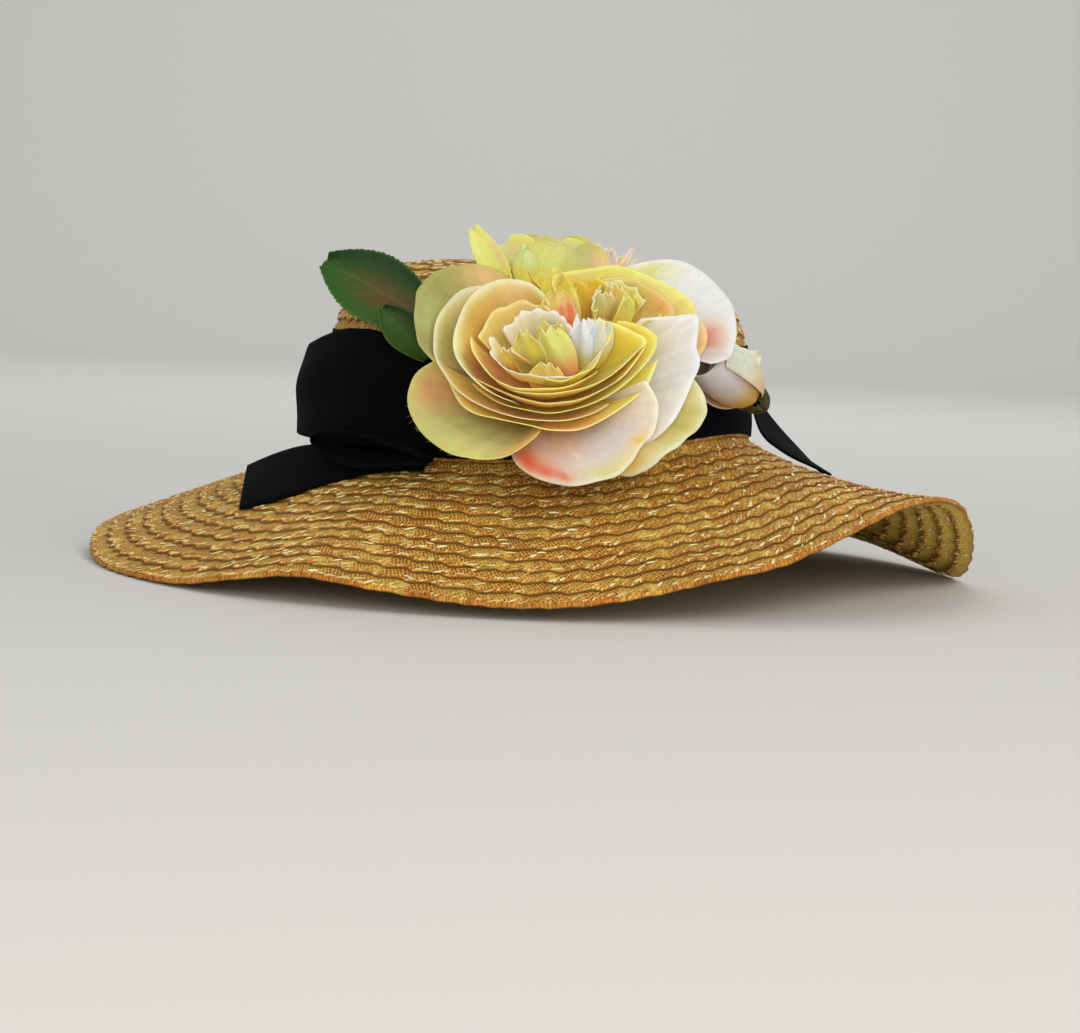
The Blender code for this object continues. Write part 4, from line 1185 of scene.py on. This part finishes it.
def makeCalyx(material):
    look = calyxLook
    foot, way, spokeAt = axisFrame(look)
    brown, green = toLinear(look["brown"]), toLinear(look["green"])

    def pointAt(a, b):
        turn = math.pi * (a + 1.0)
        point = abs(math.sin(turn * 2.5))
        teeth = 0.7 + 1.3 * point**2 * b**2 + 0.12 * math.sin(turn * 17.0) * b
        radius = look["radius"] * (0.16 + 0.84 * math.sin(math.pi * 0.5 * min(b * 1.3, 1.0)) ** 0.8)
        return foot + way * (b * teeth) + spokeAt(turn) * (radius * (1.0 + 0.75 * b**3 * point))

    def colourAt(a, b):
        return brown.lerp(green, min(max(0.5 + noiseAt(a * 6.0, b * 5.0, 1.0), 0.0), 1.0))

    shape = clothGrid(60, 14, pointAt, colourAt, lambda a, b: (a * 15.0, b * 14.0), closed=True)
    finishSheet(shape, "cloth_calyx", material, "bud_calyx", look["cutWidth"], "folded",
                "silk_bud_wrap_1", look["thick"])


# Studio
studio = {
    "floor": "#d2d0cb", "world": "#eef0f4", "worldStrength": 0.68,
    "floorHalf": 4.0, "wallHeight": 3.0, "cornerRadius": 1.2,
    "distance": 1.1, "elevation": 5.0, "roll": 2.4, "target": (0.0031, 0.0, 0.022), "lens": 83.73,
    "lights": (  # name, place, aimed at, size, watts, colour
        ("key", (1.2, -1.3, 1.4), (0.0, 0.0, 0.06), 1.0, 12.7, "#fffaf2"),
        ("front", (0.0, -1.7, 0.4), (0.0, 0.0, 0.06), 0.8, 10.8, "#fff9f0"),
        ("fill", (-1.4, -1.2, 0.9), (0.0, 0.0, 0.06), 1.4, 2.5, "#eef3ff"),
        ("back", (0.3, 1.4, 1.6), (0.0, 0.0, 0.06), 1.2, 6.0, "#ffffff"),
        ("wall", (0.0, 1.6, 2.4), (0.0, 4.0, 1.0), 2.0, 22.0, "#fdfdff"),
    ),
}


def addThing(name, data):
    thing = bpy.data.objects.new(name, data)
    bpy.context.scene.collection.objects.link(thing)
    return thing


# painted paper that curves up from the floor to the wall
def makeFloor():
    shape = bmesh.new()
    bmesh.ops.create_grid(shape, x_segments=1, y_segments=1, size=studio["floorHalf"])
    far = [edge for edge in shape.edges if all(v.co.y > 1.0 for v in edge.verts)]
    grown = bmesh.ops.extrude_edge_only(shape, edges=far)["geom"]
    bmesh.ops.translate(shape, vec=(0.0, 0.0, studio["wallHeight"]),
                        verts=[part for part in grown if isinstance(part, bmesh.types.BMVert)])
    corner = [edge for edge in shape.edges if all(v.co.y > 1.0 and v.co.z < 0.1 for v in edge.verts)]
    bmesh.ops.bevel(shape, geom=corner, offset=studio["cornerRadius"], affect="EDGES", segments=12,
                    profile=0.5, material=-1)
    bmesh.ops.recalc_face_normals(shape, faces=shape.faces)
    mesh = bpy.data.meshes.new("floor")
    shape.to_mesh(mesh)
    shape.free()
    mesh.shade_smooth()
    mesh.materials.append(newMaterial("paintedBackdropPaper", {
        "Roughness": 0.85, "Specular IOR Level": 0.2, "Base Color": studio["floor"]}))
    addThing("floor", mesh)


def makeLights():
    world = bpy.data.worlds.new("softRoom")
    world.use_nodes = True
    backdrop = world.node_tree.nodes["Background"]
    setInput(world.node_tree, backdrop, "Color", studio["world"])
    setInput(world.node_tree, backdrop, "Strength", studio["worldStrength"])
    bpy.context.scene.world = world
    for name, place, aim, size, watts, colour in studio["lights"]:
        lamp = bpy.data.lights.new(name, "AREA")
        lamp.shape = "DISK"
        lamp.size = size
        lamp.energy = watts
        lamp.color = toLinear(colour)[:3]
        holder = addThing(name, lamp)
        holder.location = place
        holder.rotation_euler = (Vector(aim) - Vector(place)).to_track_quat("-Z", "Y").to_euler()


def makeCamera():
    tilt, roll = math.radians(studio["elevation"]), math.radians(studio["roll"])
    back = Vector((0.0, -math.cos(tilt), math.sin(tilt)))
    right, up = Vector((1.0, 0.0, 0.0)), Vector((0.0, math.sin(tilt), math.cos(tilt)))
    axes = (right * math.cos(roll) + up * math.sin(roll), up * math.cos(roll) - right * math.sin(roll), back)
    lens = bpy.data.cameras.new("camera")
    lens.lens = studio["lens"]
    lens.sensor_width = 36.0
    lens.clip_start = 0.05
    camera = addThing("camera", lens)
    eye = Vector(studio["target"]) + back * studio["distance"]
    camera.matrix_world = placeCopy(eye, axes, (1.0, 1.0, 1.0))
    bpy.context.scene.camera = camera
    bpy.context.scene.view_settings.view_transform = "Standard"


print("studio and camera")
makeFloor()
makeLights()
makeCamera()

print("straw")
strawMaterial = makeStrawMaterial()
sliverMaterial = makeLooseStraw("varnishedGreenStraw", sliverLook)
cordMaterial = makeLooseStraw("varnishedCopperStraw", strandLook)
brimBraid = makeBrimBraid(strawMaterial)
crownBraid = makeCrownBraid(strawMaterial)
makeSlivers("straw_brim_slivers", brimBraid, sliverMaterial, 5)
makeSlivers("straw_brim_under_slivers", brimBraid, sliverMaterial, 7, True)
makeSlivers("straw_crown_slivers", crownBraid, sliverMaterial, 6)
makeCords("straw_brim_cords", brimBraid, strandLook["brimPitch"], cordMaterial, 8)
makeCords("straw_brim_under_cords", brimBraid, strandLook["underPitch"], cordMaterial, 9, True)
makeCords("straw_crown_cords", crownBraid, strandLook["crownPitch"], cordMaterial, 10,
          hiddenRows=strandLook["rowsUnderBand"])

print("velvet ribbon")
makeRibbons(makeVelvetMaterial())

print("roses")
silkMaterial = makeClothFromDyeAndLight("dyedPetalSilkAndLight")
rims = makeRoses(silkMaterial)
makeBackRose(silkMaterial)
makeFrayedThreads(rims[:19], silkMaterial)

print("leaves and bud")
makeLeaves(makeClothFromDyeAndLight("pressedLeafCloth"))
makeBud(silkMaterial)
makeCalyx(makeClothFromDyeAndLight("pressedCalyxCloth"))
